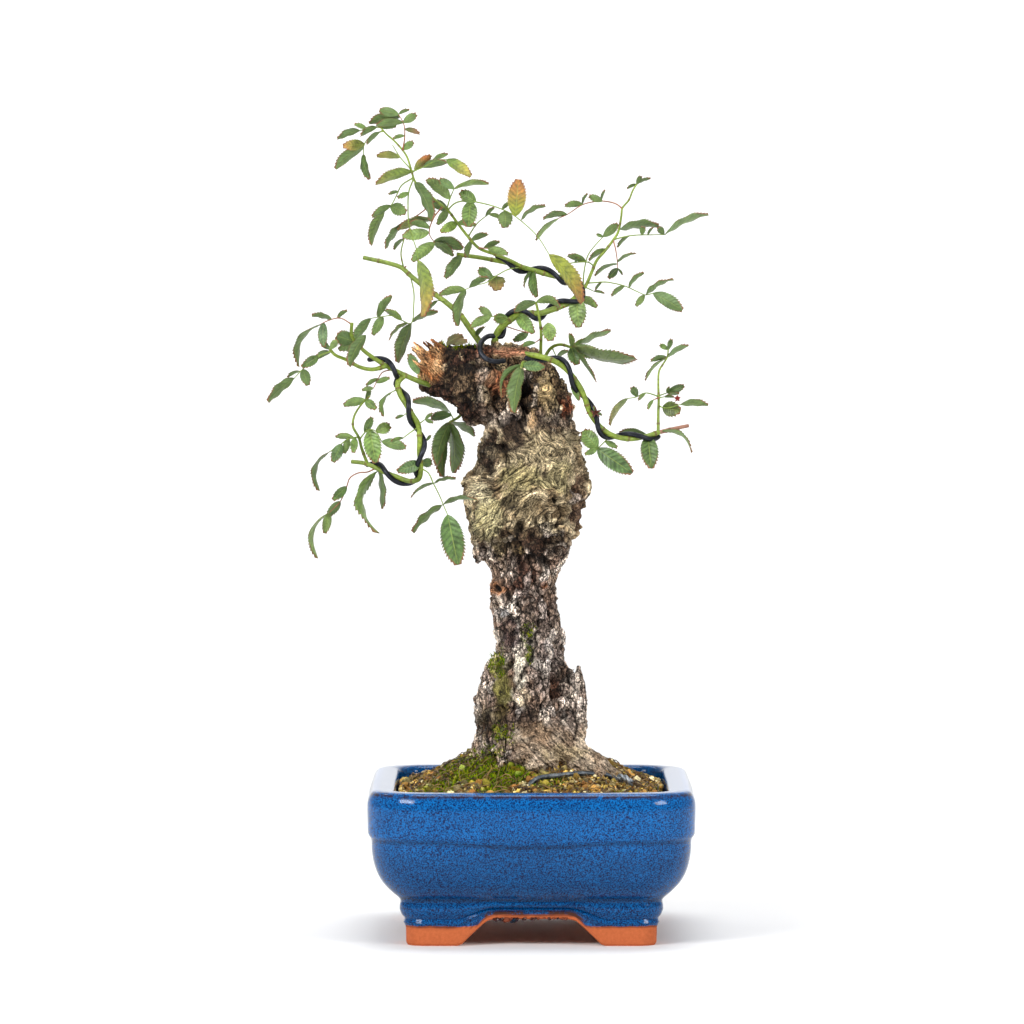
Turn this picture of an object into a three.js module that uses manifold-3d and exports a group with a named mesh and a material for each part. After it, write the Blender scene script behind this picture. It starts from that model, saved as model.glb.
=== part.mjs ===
// A rose bonsai: a burled old trunk with wired green branches and serrate leaflets, in a blue glazed pot.
// Millimetres, +Z up. +X is to the right and +Y away from someone who looks at the front.
import * as THREE from 'three';
import { mergeVertices } from 'three/addons/utils/BufferGeometryUtils.js';
import Module from 'manifold-3d';

const wasm = await Module();
wasm.setup();

// Driving dimensions of the pot
const POT_WIDTH = 152;
const POT_DEPTH = 184;
const POT_HEIGHT = 72;
const POT_CORNER = 27;
const RIM_WIDTH = 12.6;
const FLOOR_UNDERSIDE = 15.5;
const FLOOR_TOP = 22;
const ARCH_TOP = 12.5;
const DRAIN_HOLE_RADIUS = 9;
const DRAIN_HOLE_Y = 38;
const SCREEN_SIDE = 26;
const SCREEN_BAR = 1.6;
const SCREEN_THICKNESS = 1;

// Driving dimensions of the soil
const SOIL_EDGE_HEIGHT = 65.5;
const SOIL_MOUND_RISE = 28;
const SOIL_SPREAD_ACROSS = 44;
const SOIL_SPREAD_DEEP = 38;
const GRAIN_COUNT = 12;

// Driving dimensions of the plant
const GAP = 0.35;
const TRUNK_SIDES = 21;
const WIRE_RADIUS = 1.2;
const WIRE_STEP = 5.2;
const ANCHOR_STEP = 9.5;
const CHORD_SAG = 0.5;
const STEM_STEP = 10;
const STALK_RADIUS = 0.6;
const STALK_STEP = 12;
const BLADE_THICKNESS = 0.65;
const BLADE_PROPORTION = 0.42;
const BLADE_FOLD = 0.25;
const BLADE_SAG = 0.06;

// The eye in front of the plant, for points that were read off its front view
const EYE = new THREE.Vector3(-9, -3400, 340);
const AWAY = new THREE.Vector3(0, 1, 0);

// A point that shows at x, z in the pot's middle plane, and lies at depth y
function seen([x, z, y]) {
  const reach = (y - EYE.y) / -EYE.y;
  return new THREE.Vector3(EYE.x + (x - EYE.x) * reach, y, EYE.z + (z - EYE.z) * reach);
}

// Where a point shows in the pot's middle plane
function shown(point) {
  const reach = (point.y - EYE.y) / -EYE.y;
  return new THREE.Vector2(EYE.x + (point.x - EYE.x) / reach, EYE.z + (point.z - EYE.z) / reach);
}

// A closed geometry as a solid for cutting and joining
function solidFrom(geometry) {
  const bare = geometry.clone();
  bare.deleteAttribute('normal');
  bare.deleteAttribute('uv');
  const merged = mergeVertices(bare, 1e-4);
  return new wasm.Manifold(new wasm.Mesh({
    numProp: 3,
    vertProperties: new Float32Array(merged.attributes.position.array),
    triVerts: new Uint32Array(merged.index.array),
  }));
}

function joined(solids) {
  return solids.reduce((whole, piece) => whole.add(piece));
}

// The largest body of a solid, without the scraps that a cut leaves
function mainBody(solid) {
  const bodies = solid.decompose();
  return bodies.reduce((largest, body) => (body.volume() > largest.volume() ? body : largest));
}

function geometryFrom(solid) {
  const mesh = solid.getMesh();
  const geometry = new THREE.BufferGeometry();
  geometry.setAttribute('position', new THREE.BufferAttribute(new Float32Array(mesh.vertProperties), 3));
  geometry.setIndex(new THREE.BufferAttribute(new Uint32Array(mesh.triVerts), 1));
  geometry.computeVertexNormals();
  return geometry;
}

// A cylinder whose every point is moved to place(part of its length, angle, part of its radius)
function shapedCylinder(sides, steps, place) {
  const geometry = new THREE.CylinderGeometry(1, 1, 1, sides, steps);
  const position = geometry.attributes.position;
  for (let i = 0; i < position.count; i += 1) {
    const along = position.getY(i) + 0.5;
    const angle = Math.atan2(position.getZ(i), position.getX(i));
    const out = Math.hypot(position.getX(i), position.getZ(i));
    const point = place(along, angle, out);
    position.setXYZ(i, point.x, point.y, point.z);
  }
  return geometry;
}

// The even points of a smooth line through points, close to a step length apart
function evenPoints(points, stepLength) {
  const curve = new THREE.CatmullRomCurve3(points, false, 'centripetal');
  return curve.getSpacedPoints(Math.max(1, Math.round(curve.getLength() / stepLength)));
}

// A round rod through points that tapers from one radius to the other, grown by a margin on every side
function taperedTube(points, [startRadius, endRadius], sides, stepLength, margin = 0) {
  const curve = new THREE.CatmullRomCurve3(points, false, 'centripetal');
  const steps = Math.max(1, Math.round(curve.getLength() / stepLength));
  const frames = curve.computeFrenetFrames(steps, false);
  return solidFrom(shapedCylinder(sides, steps, (along, angle, out) => {
    const ring = Math.round(along * steps);
    const radius = out * (THREE.MathUtils.lerp(startRadius, endRadius, along) + margin);
    const beyond = (ring === steps ? margin : 0) - (ring === 0 ? margin : 0);
    return curve.getPointAt(along)
      .addScaledVector(frames.tangents[ring], beyond)
      .addScaledVector(frames.normals[ring], radius * Math.cos(angle))
      .addScaledVector(frames.binormals[ring], -radius * Math.sin(angle));
  }));
}

// Pot

// Height, and how far the outline lies inside the rim's outer edge
const POT_OUTSIDE = [
  [0, 18], [8, 17.6], [10.5, 16.8], [13, 17.4], [15.5, 15.4], [18.5, 15.2], [21.3, 13.6],
  [25, 10.6], [30, 6.2], [36.5, 3.4], [44, 1.9], [50, 1.4], [52.5, 0.3], [60, 0], [68, 0.2],
  [70.8, 1.4], [72, 5],
];
const POT_INSIDE = [
  [72, 9], [70.6, RIM_WIDTH], [60, RIM_WIDTH + 0.8], [40, RIM_WIDTH + 3.5], [28, RIM_WIDTH + 8],
  [FLOOR_TOP, RIM_WIDTH + 18],
];
const CORNER_STEPS = 5;
const PERIMETER_STEPS = 4 * (CORNER_STEPS + 1);

// A point of a rounded rectangle inside the rim's outer edge, numbered round its corners
function perimeterPoint(index, inset) {
  const corner = Math.floor(index / (CORNER_STEPS + 1)) % 4;
  const angle = (corner + (index % (CORNER_STEPS + 1)) / CORNER_STEPS) * (Math.PI / 2);
  const radius = Math.max(POT_CORNER - inset, 6);
  const centreX = POT_WIDTH / 2 - inset - radius;
  const centreY = POT_DEPTH / 2 - inset - radius;
  const signX = corner === 0 || corner === 3 ? 1 : -1;
  const signY = corner < 2 ? 1 : -1;
  return new THREE.Vector2(
    signX * centreX + radius * Math.cos(angle),
    signY * centreY + radius * Math.sin(angle),
  );
}

// Which perimeter point a cylinder's vertex stands for
function perimeterIndex(angle) {
  const turn = (2 * Math.PI - angle) % (2 * Math.PI);
  return Math.round((turn / (2 * Math.PI)) * PERIMETER_STEPS) % PERIMETER_STEPS;
}

// A closed solid of rounded rectangles, from [height, inset] rows; its lids are the first and last rows
function roundedRectangleStack(rows) {
  const steps = rows.length - 1;
  return solidFrom(shapedCylinder(PERIMETER_STEPS, steps, (along, angle, out) => {
    const [height, inset] = rows[Math.round(along * steps)];
    const point = perimeterPoint(perimeterIndex(angle), inset).multiplyScalar(out);
    return new THREE.Vector3(point.x, point.y, height);
  }));
}

// The arched gap between two feet, cut right through the foot band
function footArch(halfWidth, length) {
  const outline = new THREE.Shape();
  outline.moveTo(-halfWidth, -1);
  outline.lineTo(-halfWidth + 5, 4);
  outline.lineTo(-halfWidth + 13, 11.5);
  outline.lineTo(-halfWidth + 17, ARCH_TOP);
  outline.lineTo(halfWidth - 17, ARCH_TOP);
  outline.lineTo(halfWidth - 13, 11.5);
  outline.lineTo(halfWidth - 5, 4);
  outline.lineTo(halfWidth, -1);
  const arch = new THREE.ExtrudeGeometry(outline, { depth: length, bevelEnabled: false });
  arch.translate(0, 0, -length / 2);
  arch.rotateX(Math.PI / 2);
  return arch;
}

function makePot() {
  const underside = roundedRectangleStack([[-1, 30], [FLOOR_UNDERSIDE, 26]]);
  const inside = roundedRectangleStack([...POT_INSIDE].reverse().concat([[POT_HEIGHT + 3, 9]]));
  const sideArch = footArch(52, POT_WIDTH + 10).rotateZ(Math.PI / 2);
  let pot = roundedRectangleStack(POT_OUTSIDE)
    .subtract(inside)
    .subtract(underside)
    .subtract(solidFrom(footArch(34, POT_DEPTH + 10)))
    .subtract(solidFrom(sideArch));
  for (const y of [-DRAIN_HOLE_Y, DRAIN_HOLE_Y]) {
    const hole = new THREE.CylinderGeometry(DRAIN_HOLE_RADIUS, DRAIN_HOLE_RADIUS, 20, 16);
    pot = pot.subtract(solidFrom(hole.rotateX(Math.PI / 2).translate(0, y, FLOOR_TOP - 3)));
  }
  return pot;
}

// A square of plastic mesh over a drainage hole
function makeDrainScreen(y) {
  const height = FLOOR_TOP + GAP + SCREEN_THICKNESS / 2;
  const cells = 3;
  const pitch = (SCREEN_SIDE - SCREEN_BAR) / cells;
  const opening = pitch - SCREEN_BAR;
  let screen = solidFrom(new THREE.BoxGeometry(SCREEN_SIDE, SCREEN_SIDE, SCREEN_THICKNESS));
  for (let column = -1; column <= 1; column += 1) {
    for (let row = -1; row <= 1; row += 1) {
      const cell = new THREE.BoxGeometry(opening, opening, 2 * SCREEN_THICKNESS);
      screen = screen.subtract(solidFrom(cell.translate(column * pitch, row * pitch, 0)));
    }
  }
  return screen.translate([0, y, height]);
}

// Trunk

// Height, left and right edge seen from the front, front and back edge
const TRUNK_LEVELS = [
  [46, -20, 18, -18, 18], [58, -31, 29, -27, 26], [72, -33, 32, -32, 28], [80, -30, 30, -32, 27],
  [88, -28, 26, -30, 25], [95, -26, 24, -28, 23], [103, -27, 26, -25, 22], [110, -27.5, 25.5, -22, 21],
  [117, -24.5, 24, -20, 20], [125, -21.5, 18.5, -18.5, 18], [131, -17.5, 17, -17, 17],
  [138, -16.5, 16, -16.5, 16], [146, -18.5, 14.5, -16, 16], [155, -19.2, 12.5, -16, 16],
  [168, -19.6, 12.4, -16.5, 16], [173.5, -20.5, 15, -17, 17], [176, -25.5, 17, -21, 20],
  [181, -27, 19.5, -24, 22], [190, -29, 21.7, -26, 24], [196, -30, 24, -27, 25], [207, -31.6, 28, -26, 25],
  [213, -31, 28, -25, 24], [218, -27, 26, -24, 23], [224, -25.5, 24, -23, 22],
  [229, -26.7, 23.5, -21, 21], [234, -22.5, 22, -20, 20], [240, -22, 20, -19, 19],
  [254, -22, 18.5, -18, 18], [260, -22, 15.5, -17.5, 17], [266, -22, 11.5, -16, 16],
  [271, -21, 8, -13.5, 13], [275, -18, 2, -9, 9], [277, -14, -3, -5, 5],
];

// How far right, bottom and top, and half the depth of the broken arm, from its tip to its root
const ARM_SECTIONS = [
  [-53, 256.5, 268, 4], [-51, 254.5, 272, 8.5], [-47, 252.5, 275, 12], [-42, 251, 276.5, 14.5],
  [-37, 248, 277, 16], [-32, 241, 277.5, 17], [-26, 238, 277.5, 17.5], [-18, 240, 277, 17],
  [-8, 244, 275, 15],
];

// Torn fibres at the arm's end: tip across, tip height, tip depth, half the width at the root
const TORN_FIBRES = [
  [-57, 277.5, -5, 2], [-54.5, 279.5, -8, 2.2], [-51, 279.8, -3, 2.4], [-48, 278.6, -9, 2.4],
  [-53, 268.5, -12, 2.4], [-57.5, 274, 1, 2], [-49.5, 264.5, -13, 2.4],
];

// Roots that show as ridges over the soil
const ROOTS = [
  { path: [[3, 104, -15], [13, 93, -21], [25, 83, -23], [37, 75, -21], [47, 69, -17]], radius: [8.5, 2] },
  { path: [[-4, 108, -14], [-9, 98, -20], [-11, 88, -24], [-12, 72, -26]], radius: [7.5, 5] },
  { path: [[2, 100, -13], [5, 88, -21], [7, 72, -27]], radius: [11, 8] },
  { path: [[-14, 100, 8], [-19, 88, 12], [-24, 74, 14]], radius: [9, 5] },
  { path: [[8, 100, 12], [17, 88, 20], [24, 74, 28]], radius: [9, 4] },
];

// The fissured and knobbly surface of the trunk, as a factor on its depth
function gnarl(angle, height) {
  return 1
    + 0.07 * Math.sin(3 * angle + height * 0.13)
    + 0.06 * Math.sin(5 * angle - height * 0.31)
    + 0.05 * Math.sin(9 * angle + height * 0.9);
}

// The upright column with its roots, grown by a margin on every side
function trunkColumn(levels, margin) {
  const steps = levels.length - 1;
  const column = solidFrom(shapedCylinder(TRUNK_SIDES, steps, (along, angle, out) => {
    const [height, left, right, front, back] = levels[Math.round(along * steps)];
    const knobs = gnarl(angle, height);
    const twist = 0.06 * Math.sin(angle) * Math.sin(7 * angle + height * 0.6);
    const across = (Math.cos(angle) + twist) * out;
    const deep = -Math.sin(angle) * out;
    const x = (left + right) / 2 + across * ((right - left) / 2 + margin);
    const y = deep * (knobs * (deep > 0 ? back : -front) + margin);
    return seen([x, along === 0 ? height - margin : height, y]);
  }));
  const roots = ROOTS.map(({ path, radius }) => taperedTube(path.map(seen), radius, 7, 9, margin));
  return joined([column, ...roots]);
}

function makeTrunk() {
  const column = trunkColumn(TRUNK_LEVELS, 0);
  const armSteps = ARM_SECTIONS.length - 1;
  const arm = solidFrom(shapedCylinder(16, armSteps, (along, angle, out) => {
    const [x, low, high, halfDepth] = ARM_SECTIONS[Math.round(along * armSteps)];
    const knobs = 1 + 0.06 * Math.sin(4 * angle + x * 0.4);
    const height = (low + high) / 2 + Math.sin(angle) * out * ((high - low) / 2);
    return seen([x, height, -Math.cos(angle) * out * halfDepth * knobs]);
  }));
  const fibres = TORN_FIBRES.map(([x, z, y, halfWidth]) => taperedTube(
    [seen([-42, 262, y / 2]), seen([(x - 44) / 2, (z + 266) / 2, y * 0.8]), seen([x, z, y])],
    [halfWidth, 0.5], 4, 11,
  ));
  const knuckle = taperedTube(
    [[-22, 274, -8], [-14, 272.5, -12], [-5, 272, -12], [2, 270, -9]].map(seen), [4.6, 4], 8, 6,
  );
  const slab = taperedTube(
    [[18.5, 90, -17], [21, 108, -14.5], [22.5, 126, -10.5]].map(seen), [7.5, 0.7], 6, 9,
  );
  return joined([column, arm, ...fibres, knuckle, slab]);
}

// Soil

function soilHeight(x, y) {
  const distance = (x / SOIL_SPREAD_ACROSS) ** 2 + (y / SOIL_SPREAD_DEEP) ** 2;
  const rough = 0.7 * Math.sin(x * 0.55 + 1) * Math.cos(y * 0.47);
  return SOIL_EDGE_HEIGHT + SOIL_MOUND_RISE * Math.exp(-distance) + rough;
}

function makeSoil() {
  const wall = [...POT_INSIDE].reverse().filter(([height]) => height < 60);
  const rings = [0.96, 0.83, 0.7, 0.57, 0.45, 0.35];
  const rows = wall.map(([height, inset]) => [height + GAP, inset + GAP, 1])
    .concat([[SOIL_EDGE_HEIGHT, RIM_WIDTH + 0.6 + GAP, 1]])
    .concat(rings.map((part) => [null, RIM_WIDTH + 1, part]));
  const steps = rows.length - 1;
  const mound = solidFrom(shapedCylinder(PERIMETER_STEPS, steps, (along, angle, out) => {
    const [height, inset, part] = rows[Math.round(along * steps)];
    const point = perimeterPoint(perimeterIndex(angle), inset).multiplyScalar(out * part);
    return new THREE.Vector3(point.x, point.y, height ?? soilHeight(point.x, point.y));
  }));
  const grains = [];
  for (let i = 0; i < GRAIN_COUNT; i += 1) {
    const turn = i * 2.4;
    const reach = 0.55 + 0.37 * ((i * 0.29) % 1);
    const x = Math.cos(turn) * reach * 58;
    const y = Math.sin(turn) * reach * 74;
    const size = 2.2 + 1.6 * ((i * 0.37) % 1);
    const grain = new THREE.OctahedronGeometry(size, 0).rotateZ(i).rotateX(i * 1.7);
    grains.push(solidFrom(grain.translate(x, y, soilHeight(x, y) + size * 0.2)));
  }
  return joined([mound, ...grains]);
}

// Leaves

// The point of a line of points that shows nearest to x, z
function nearestOn(points, x, z) {
  if (points.length === 1) return points[0];
  const target = new THREE.Vector2(x, z);
  let best = points[0];
  let bestDistance = Infinity;
  for (let i = 1; i < points.length; i += 1) {
    const [a, b] = [shown(points[i - 1]), shown(points[i])];
    const run = b.clone().sub(a);
    const part = THREE.MathUtils.clamp(target.clone().sub(a).dot(run) / run.lengthSq(), 0, 1);
    const distance = a.addScaledVector(run, part).distanceTo(target);
    if (distance < bestDistance) {
      best = points[i - 1].clone().lerp(points[i], part);
      bestDistance = distance;
    }
  }
  return best;
}

// Serrate half outlines from root to tip: part of the length, part of half the width
const LARGE_OUTLINE = [[0.2, 0.74], [0.47, 1], [0.54, 0.82], [0.79, 0.66]];
const MIDDLE_OUTLINE = [[0.24, 0.8], [0.52, 1], [0.6, 0.78]];
const SMALL_OUTLINE = [[0.3, 0.9], [0.62, 1]];

function outlineFor(length) {
  if (length > 17) return LARGE_OUTLINE;
  return length > 11 ? MIDDLE_OUTLINE : SMALL_OUTLINE;
}

// A thin solid. Every vertex is { point, half }, half being the vector to its upper side.
// The faces cover the upper side, and the rim runs round it.
function plate(vertices, upperFaces, rim) {
  const under = vertices.length;
  const corners = [];
  for (const side of [1, -1]) {
    for (const { point, half } of vertices) {
      corners.push(...point.clone().addScaledVector(half, side).toArray());
    }
  }
  const faces = upperFaces.flatMap(([a, b, c]) => [a, b, c, a + under, c + under, b + under]);
  rim.forEach((a, i) => {
    const b = rim[(i + 1) % rim.length];
    faces.push(a, a + under, b + under, a, b + under, b);
  });
  const geometry = new THREE.BufferGeometry();
  geometry.setAttribute('position', new THREE.Float32BufferAttribute(corners, 3));
  geometry.setIndex(faces);
  return solidFrom(geometry);
}

// The vertices and faces of one leaflet: a folded, sagging blade with teeth along both edges.
// It is turned about its rib until it shows the width that is seen from the front. The vertices go out
// along one edge and back along the other; first is the number of the first one.
function leaflet(root, { tip, width, bow }, normal, first) {
  const along = tip.clone().sub(root);
  const length = along.length();
  along.normalize();
  const edge = new THREE.Vector3().crossVectors(along, AWAY).normalize();
  const facing = new THREE.Vector3().crossVectors(edge, along);
  const fullWidth = Math.max(width, BLADE_PROPORTION * length);
  const turn = Math.acos(width / fullWidth) * (edge.z > 0 ? -1 : 1);
  const side = edge.clone().multiplyScalar(Math.cos(turn)).addScaledVector(facing, Math.sin(turn));
  if (side.dot(new THREE.Vector3().crossVectors(along, normal)) < 0) side.negate();
  const up = new THREE.Vector3().crossVectors(side, along);
  const lift = up.z < 0 ? -1 : 1;
  const half = up.clone().multiplyScalar(BLADE_THICKNESS / 2);
  const place = (part, out) => {
    const middle = 4 * part * (1 - part);
    const rise = BLADE_FOLD * Math.abs(out) * (fullWidth / 2) + BLADE_SAG * length * middle;
    const point = root.clone()
      .addScaledVector(along, part * length)
      .addScaledVector(edge, bow * middle)
      .addScaledVector(side, (out * fullWidth) / 2)
      .addScaledVector(up, lift * rise);
    return { point, half };
  };
  const outline = outlineFor(length);
  const vertices = [
    ...outline.map(([part, out]) => place(part, out)),
    place(1, 0),
    ...[...outline].reverse().map(([part, out]) => place(part, -out)),
  ];
  const rim = vertices.map((vertex, i) => first + i);
  const tipVertex = first + outline.length;
  const facesBetween = (start, end) => {
    const ring = [start, ...rim, end];
    return ring
      .map((a, i) => [tipVertex, a, ring[(i + 1) % ring.length]])
      .filter((face) => new Set(face).size === 3);
  };
  return { vertices, rim, facesBetween };
}

// A single leaflet that grows straight from a stem
function singleLeaflet(root, shape) {
  const along = shape.tip.clone().sub(root).normalize();
  const edge = new THREE.Vector3().crossVectors(along, AWAY).normalize();
  const normal = new THREE.Vector3().crossVectors(edge, along);
  const blade = leaflet(root, shape, normal, 2);
  const { half } = blade.vertices[0];
  const side = new THREE.Vector3().crossVectors(along, half).normalize();
  const ends = [1, -1].map((sign) => ({ point: root.clone().addScaledVector(side, sign * 0.3), half }));
  return plate([...ends, ...blade.vertices], blade.facesBetween(0, 1), [0, ...blade.rim, 1]);
}

// The middle, direction, side and upper side of a flat stalk, so far along its curve
function stalkFrame(curve, reach) {
  const part = THREE.MathUtils.clamp(reach / curve.getLength(), 0, 1);
  const along = curve.getTangentAt(part);
  const side = new THREE.Vector3().crossVectors(along, AWAY).normalize();
  return { middle: curve.getPointAt(part), along, side, normal: side.clone().cross(along) };
}

// The places along a stalk where leaflets grow, each with at most one to its right and one to its left
function leafletSlots(curve, shapes) {
  const length = curve.getLength();
  const slots = [];
  for (const shape of [...shapes].sort((a, b) => b.reach - a.reach)) {
    const { middle, side } = stalkFrame(curve, shape.reach);
    const edge = shape.tip.clone().sub(middle).dot(side) > 0 ? 'right' : 'left';
    const room = slots.length > 0 ? slots[0].reach - 2.2 * STALK_RADIUS : length - 1.1 * STALK_RADIUS;
    const shared = slots[0] && !slots[0][edge] && shape.reach > room;
    if (!shared) slots.unshift({ reach: Math.max(Math.min(shape.reach, room), 1.2 * STALK_RADIUS) });
    slots[0][edge] = shape;
  }
  return slots;
}

// Where a stalk is crossed by a pair of vertices: on both sides of each slot, and on the way between
function stalkStations(length, slots) {
  const stations = [{ reach: 0 }];
  for (const { reach, right, left } of [...slots, { reach: length + STALK_RADIUS }]) {
    const from = stations[stations.length - 1].reach;
    const to = reach - STALK_RADIUS;
    const extra = Math.floor((to - from) / STALK_STEP);
    for (let i = 1; i <= extra; i += 1) stations.push({ reach: from + ((to - from) * i) / (extra + 1) });
    if (to > from + 0.05) stations.push({ reach: to });
    Object.assign(stations[stations.length - 1], { right, left });
    if (right || left) stations.push({ reach: reach + STALK_RADIUS });
  }
  return stations;
}

// A compound leaf: a flat stalk along a curve, with leaflets on both edges and one at its end
function compoundLeaf(curve, shapes) {
  const length = curve.getLength();
  const end = stalkFrame(curve, length);
  const reaches = shapes.map((shape) => ({ ...shape, reach: reachOn(curve, shape.root) }));
  const forward = (shape) => shape.tip.clone().sub(end.middle).normalize().dot(end.along);
  const [last] = reaches
    .filter((shape) => shape.reach > length - 1)
    .sort((a, b) => forward(b) - forward(a));
  const stations = stalkStations(length, leafletSlots(curve, reaches.filter((shape) => shape !== last)));
  const vertices = stations.flatMap(({ reach }) => {
    const { middle, side, normal } = stalkFrame(curve, reach);
    const half = normal.multiplyScalar(STALK_RADIUS * 0.6);
    const edges = [STALK_RADIUS, -STALK_RADIUS];
    return edges.map((out) => ({ point: middle.clone().addScaledVector(side, out), half }));
  });
  const faces = [];
  const grow = (shape, reach, from, to) => {
    const { middle, normal } = stalkFrame(curve, reach);
    const blade = leaflet(middle, shape, normal, vertices.length);
    vertices.push(...blade.vertices);
    faces.push(...blade.facesBetween(from, to));
    return blade.rim;
  };
  const rightRim = [];
  const leftRim = [];
  stations.forEach(({ reach, right, left }, i) => {
    const [r, l] = [2 * i, 2 * i + 1];
    rightRim.push(r);
    leftRim.unshift(l);
    if (i === stations.length - 1) return;
    faces.push([r, r + 2, l + 2], [r, l + 2, l]);
    if (right) rightRim.push(...grow(right, reach + STALK_RADIUS, r, r + 2));
    if (left) leftRim.unshift(...grow(left, reach + STALK_RADIUS, l + 2, l));
  });
  const lastRim = last ? grow(last, length, rightRim[rightRim.length - 1], leftRim[0]) : [];
  return plate(vertices, faces, [...rightRim, ...lastRim, ...leftRim]);
}

// How far along a curve the point lies that shows nearest to x, z
function reachOn(curve, [x, z]) {
  const target = new THREE.Vector2(x, z);
  const points = curve.getSpacedPoints(60);
  const distances = points.map((point) => shown(point).distanceTo(target));
  return (curve.getLength() * distances.indexOf(Math.min(...distances))) / 60;
}

function stemSolid({ path, radius }, margin) {
  return taperedTube(path.map(seen), radius, 6, STEM_STEP, margin);
}

// A leafy stem: its stems and its leaves, joined in one solid.
// A stem has a path of [x, z, depth] and a [start, end] radius. A leaf has a stalk of [x, z], whose end
// lies so far away behind its root, or else only the one point of the stem that its leaflets grow from.
// A leaflet is [root x, root z, tip x, tip z, width], and may add its tip's depth and its bow sideways.
function leafyStem({ stems, leaves }) {
  const pieces = stems.map((stem) => stemSolid(stem, 0));
  const stemLines = stems.map(({ path }) => evenPoints(path.map(seen), STEM_STEP));
  for (const { away, stalk, leaflets } of leaves) {
    const start = new THREE.Vector2(...stalk[0]);
    const roots = stemLines.map((line) => nearestOn(line, start.x, start.y));
    roots.sort((a, b) => shown(a).distanceTo(start) - shown(b).distanceTo(start));
    const root = roots[0];
    const run = stalk.length - 1;
    const rest = stalk.slice(1).map(([x, z], i) => seen([x, z, root.y + (away * (i + 1)) / run]));
    const line = run > 0 ? evenPoints([root, ...rest], 2) : [root];
    const shapes = leaflets.map(([rootX, rootZ, tipX, tipZ, width, depth, bow = 0], i) => {
      const base = nearestOn(line, rootX, rootZ);
      const lean = depth ?? (i % 2 === 0 ? -0.3 : 0.3) * Math.hypot(tipX - rootX, tipZ - rootZ);
      return { root: [rootX, rootZ], tip: seen([tipX, tipZ, base.y + lean]), width, bow };
    });
    if (run > 0) {
      pieces.push(compoundLeaf(new THREE.CatmullRomCurve3([root, ...rest], false, 'centripetal'), shapes));
    } else {
      pieces.push(...shapes.map((shape) => singleLeaflet(root, shape)));
    }
  }
  return joined(pieces);
}

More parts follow.
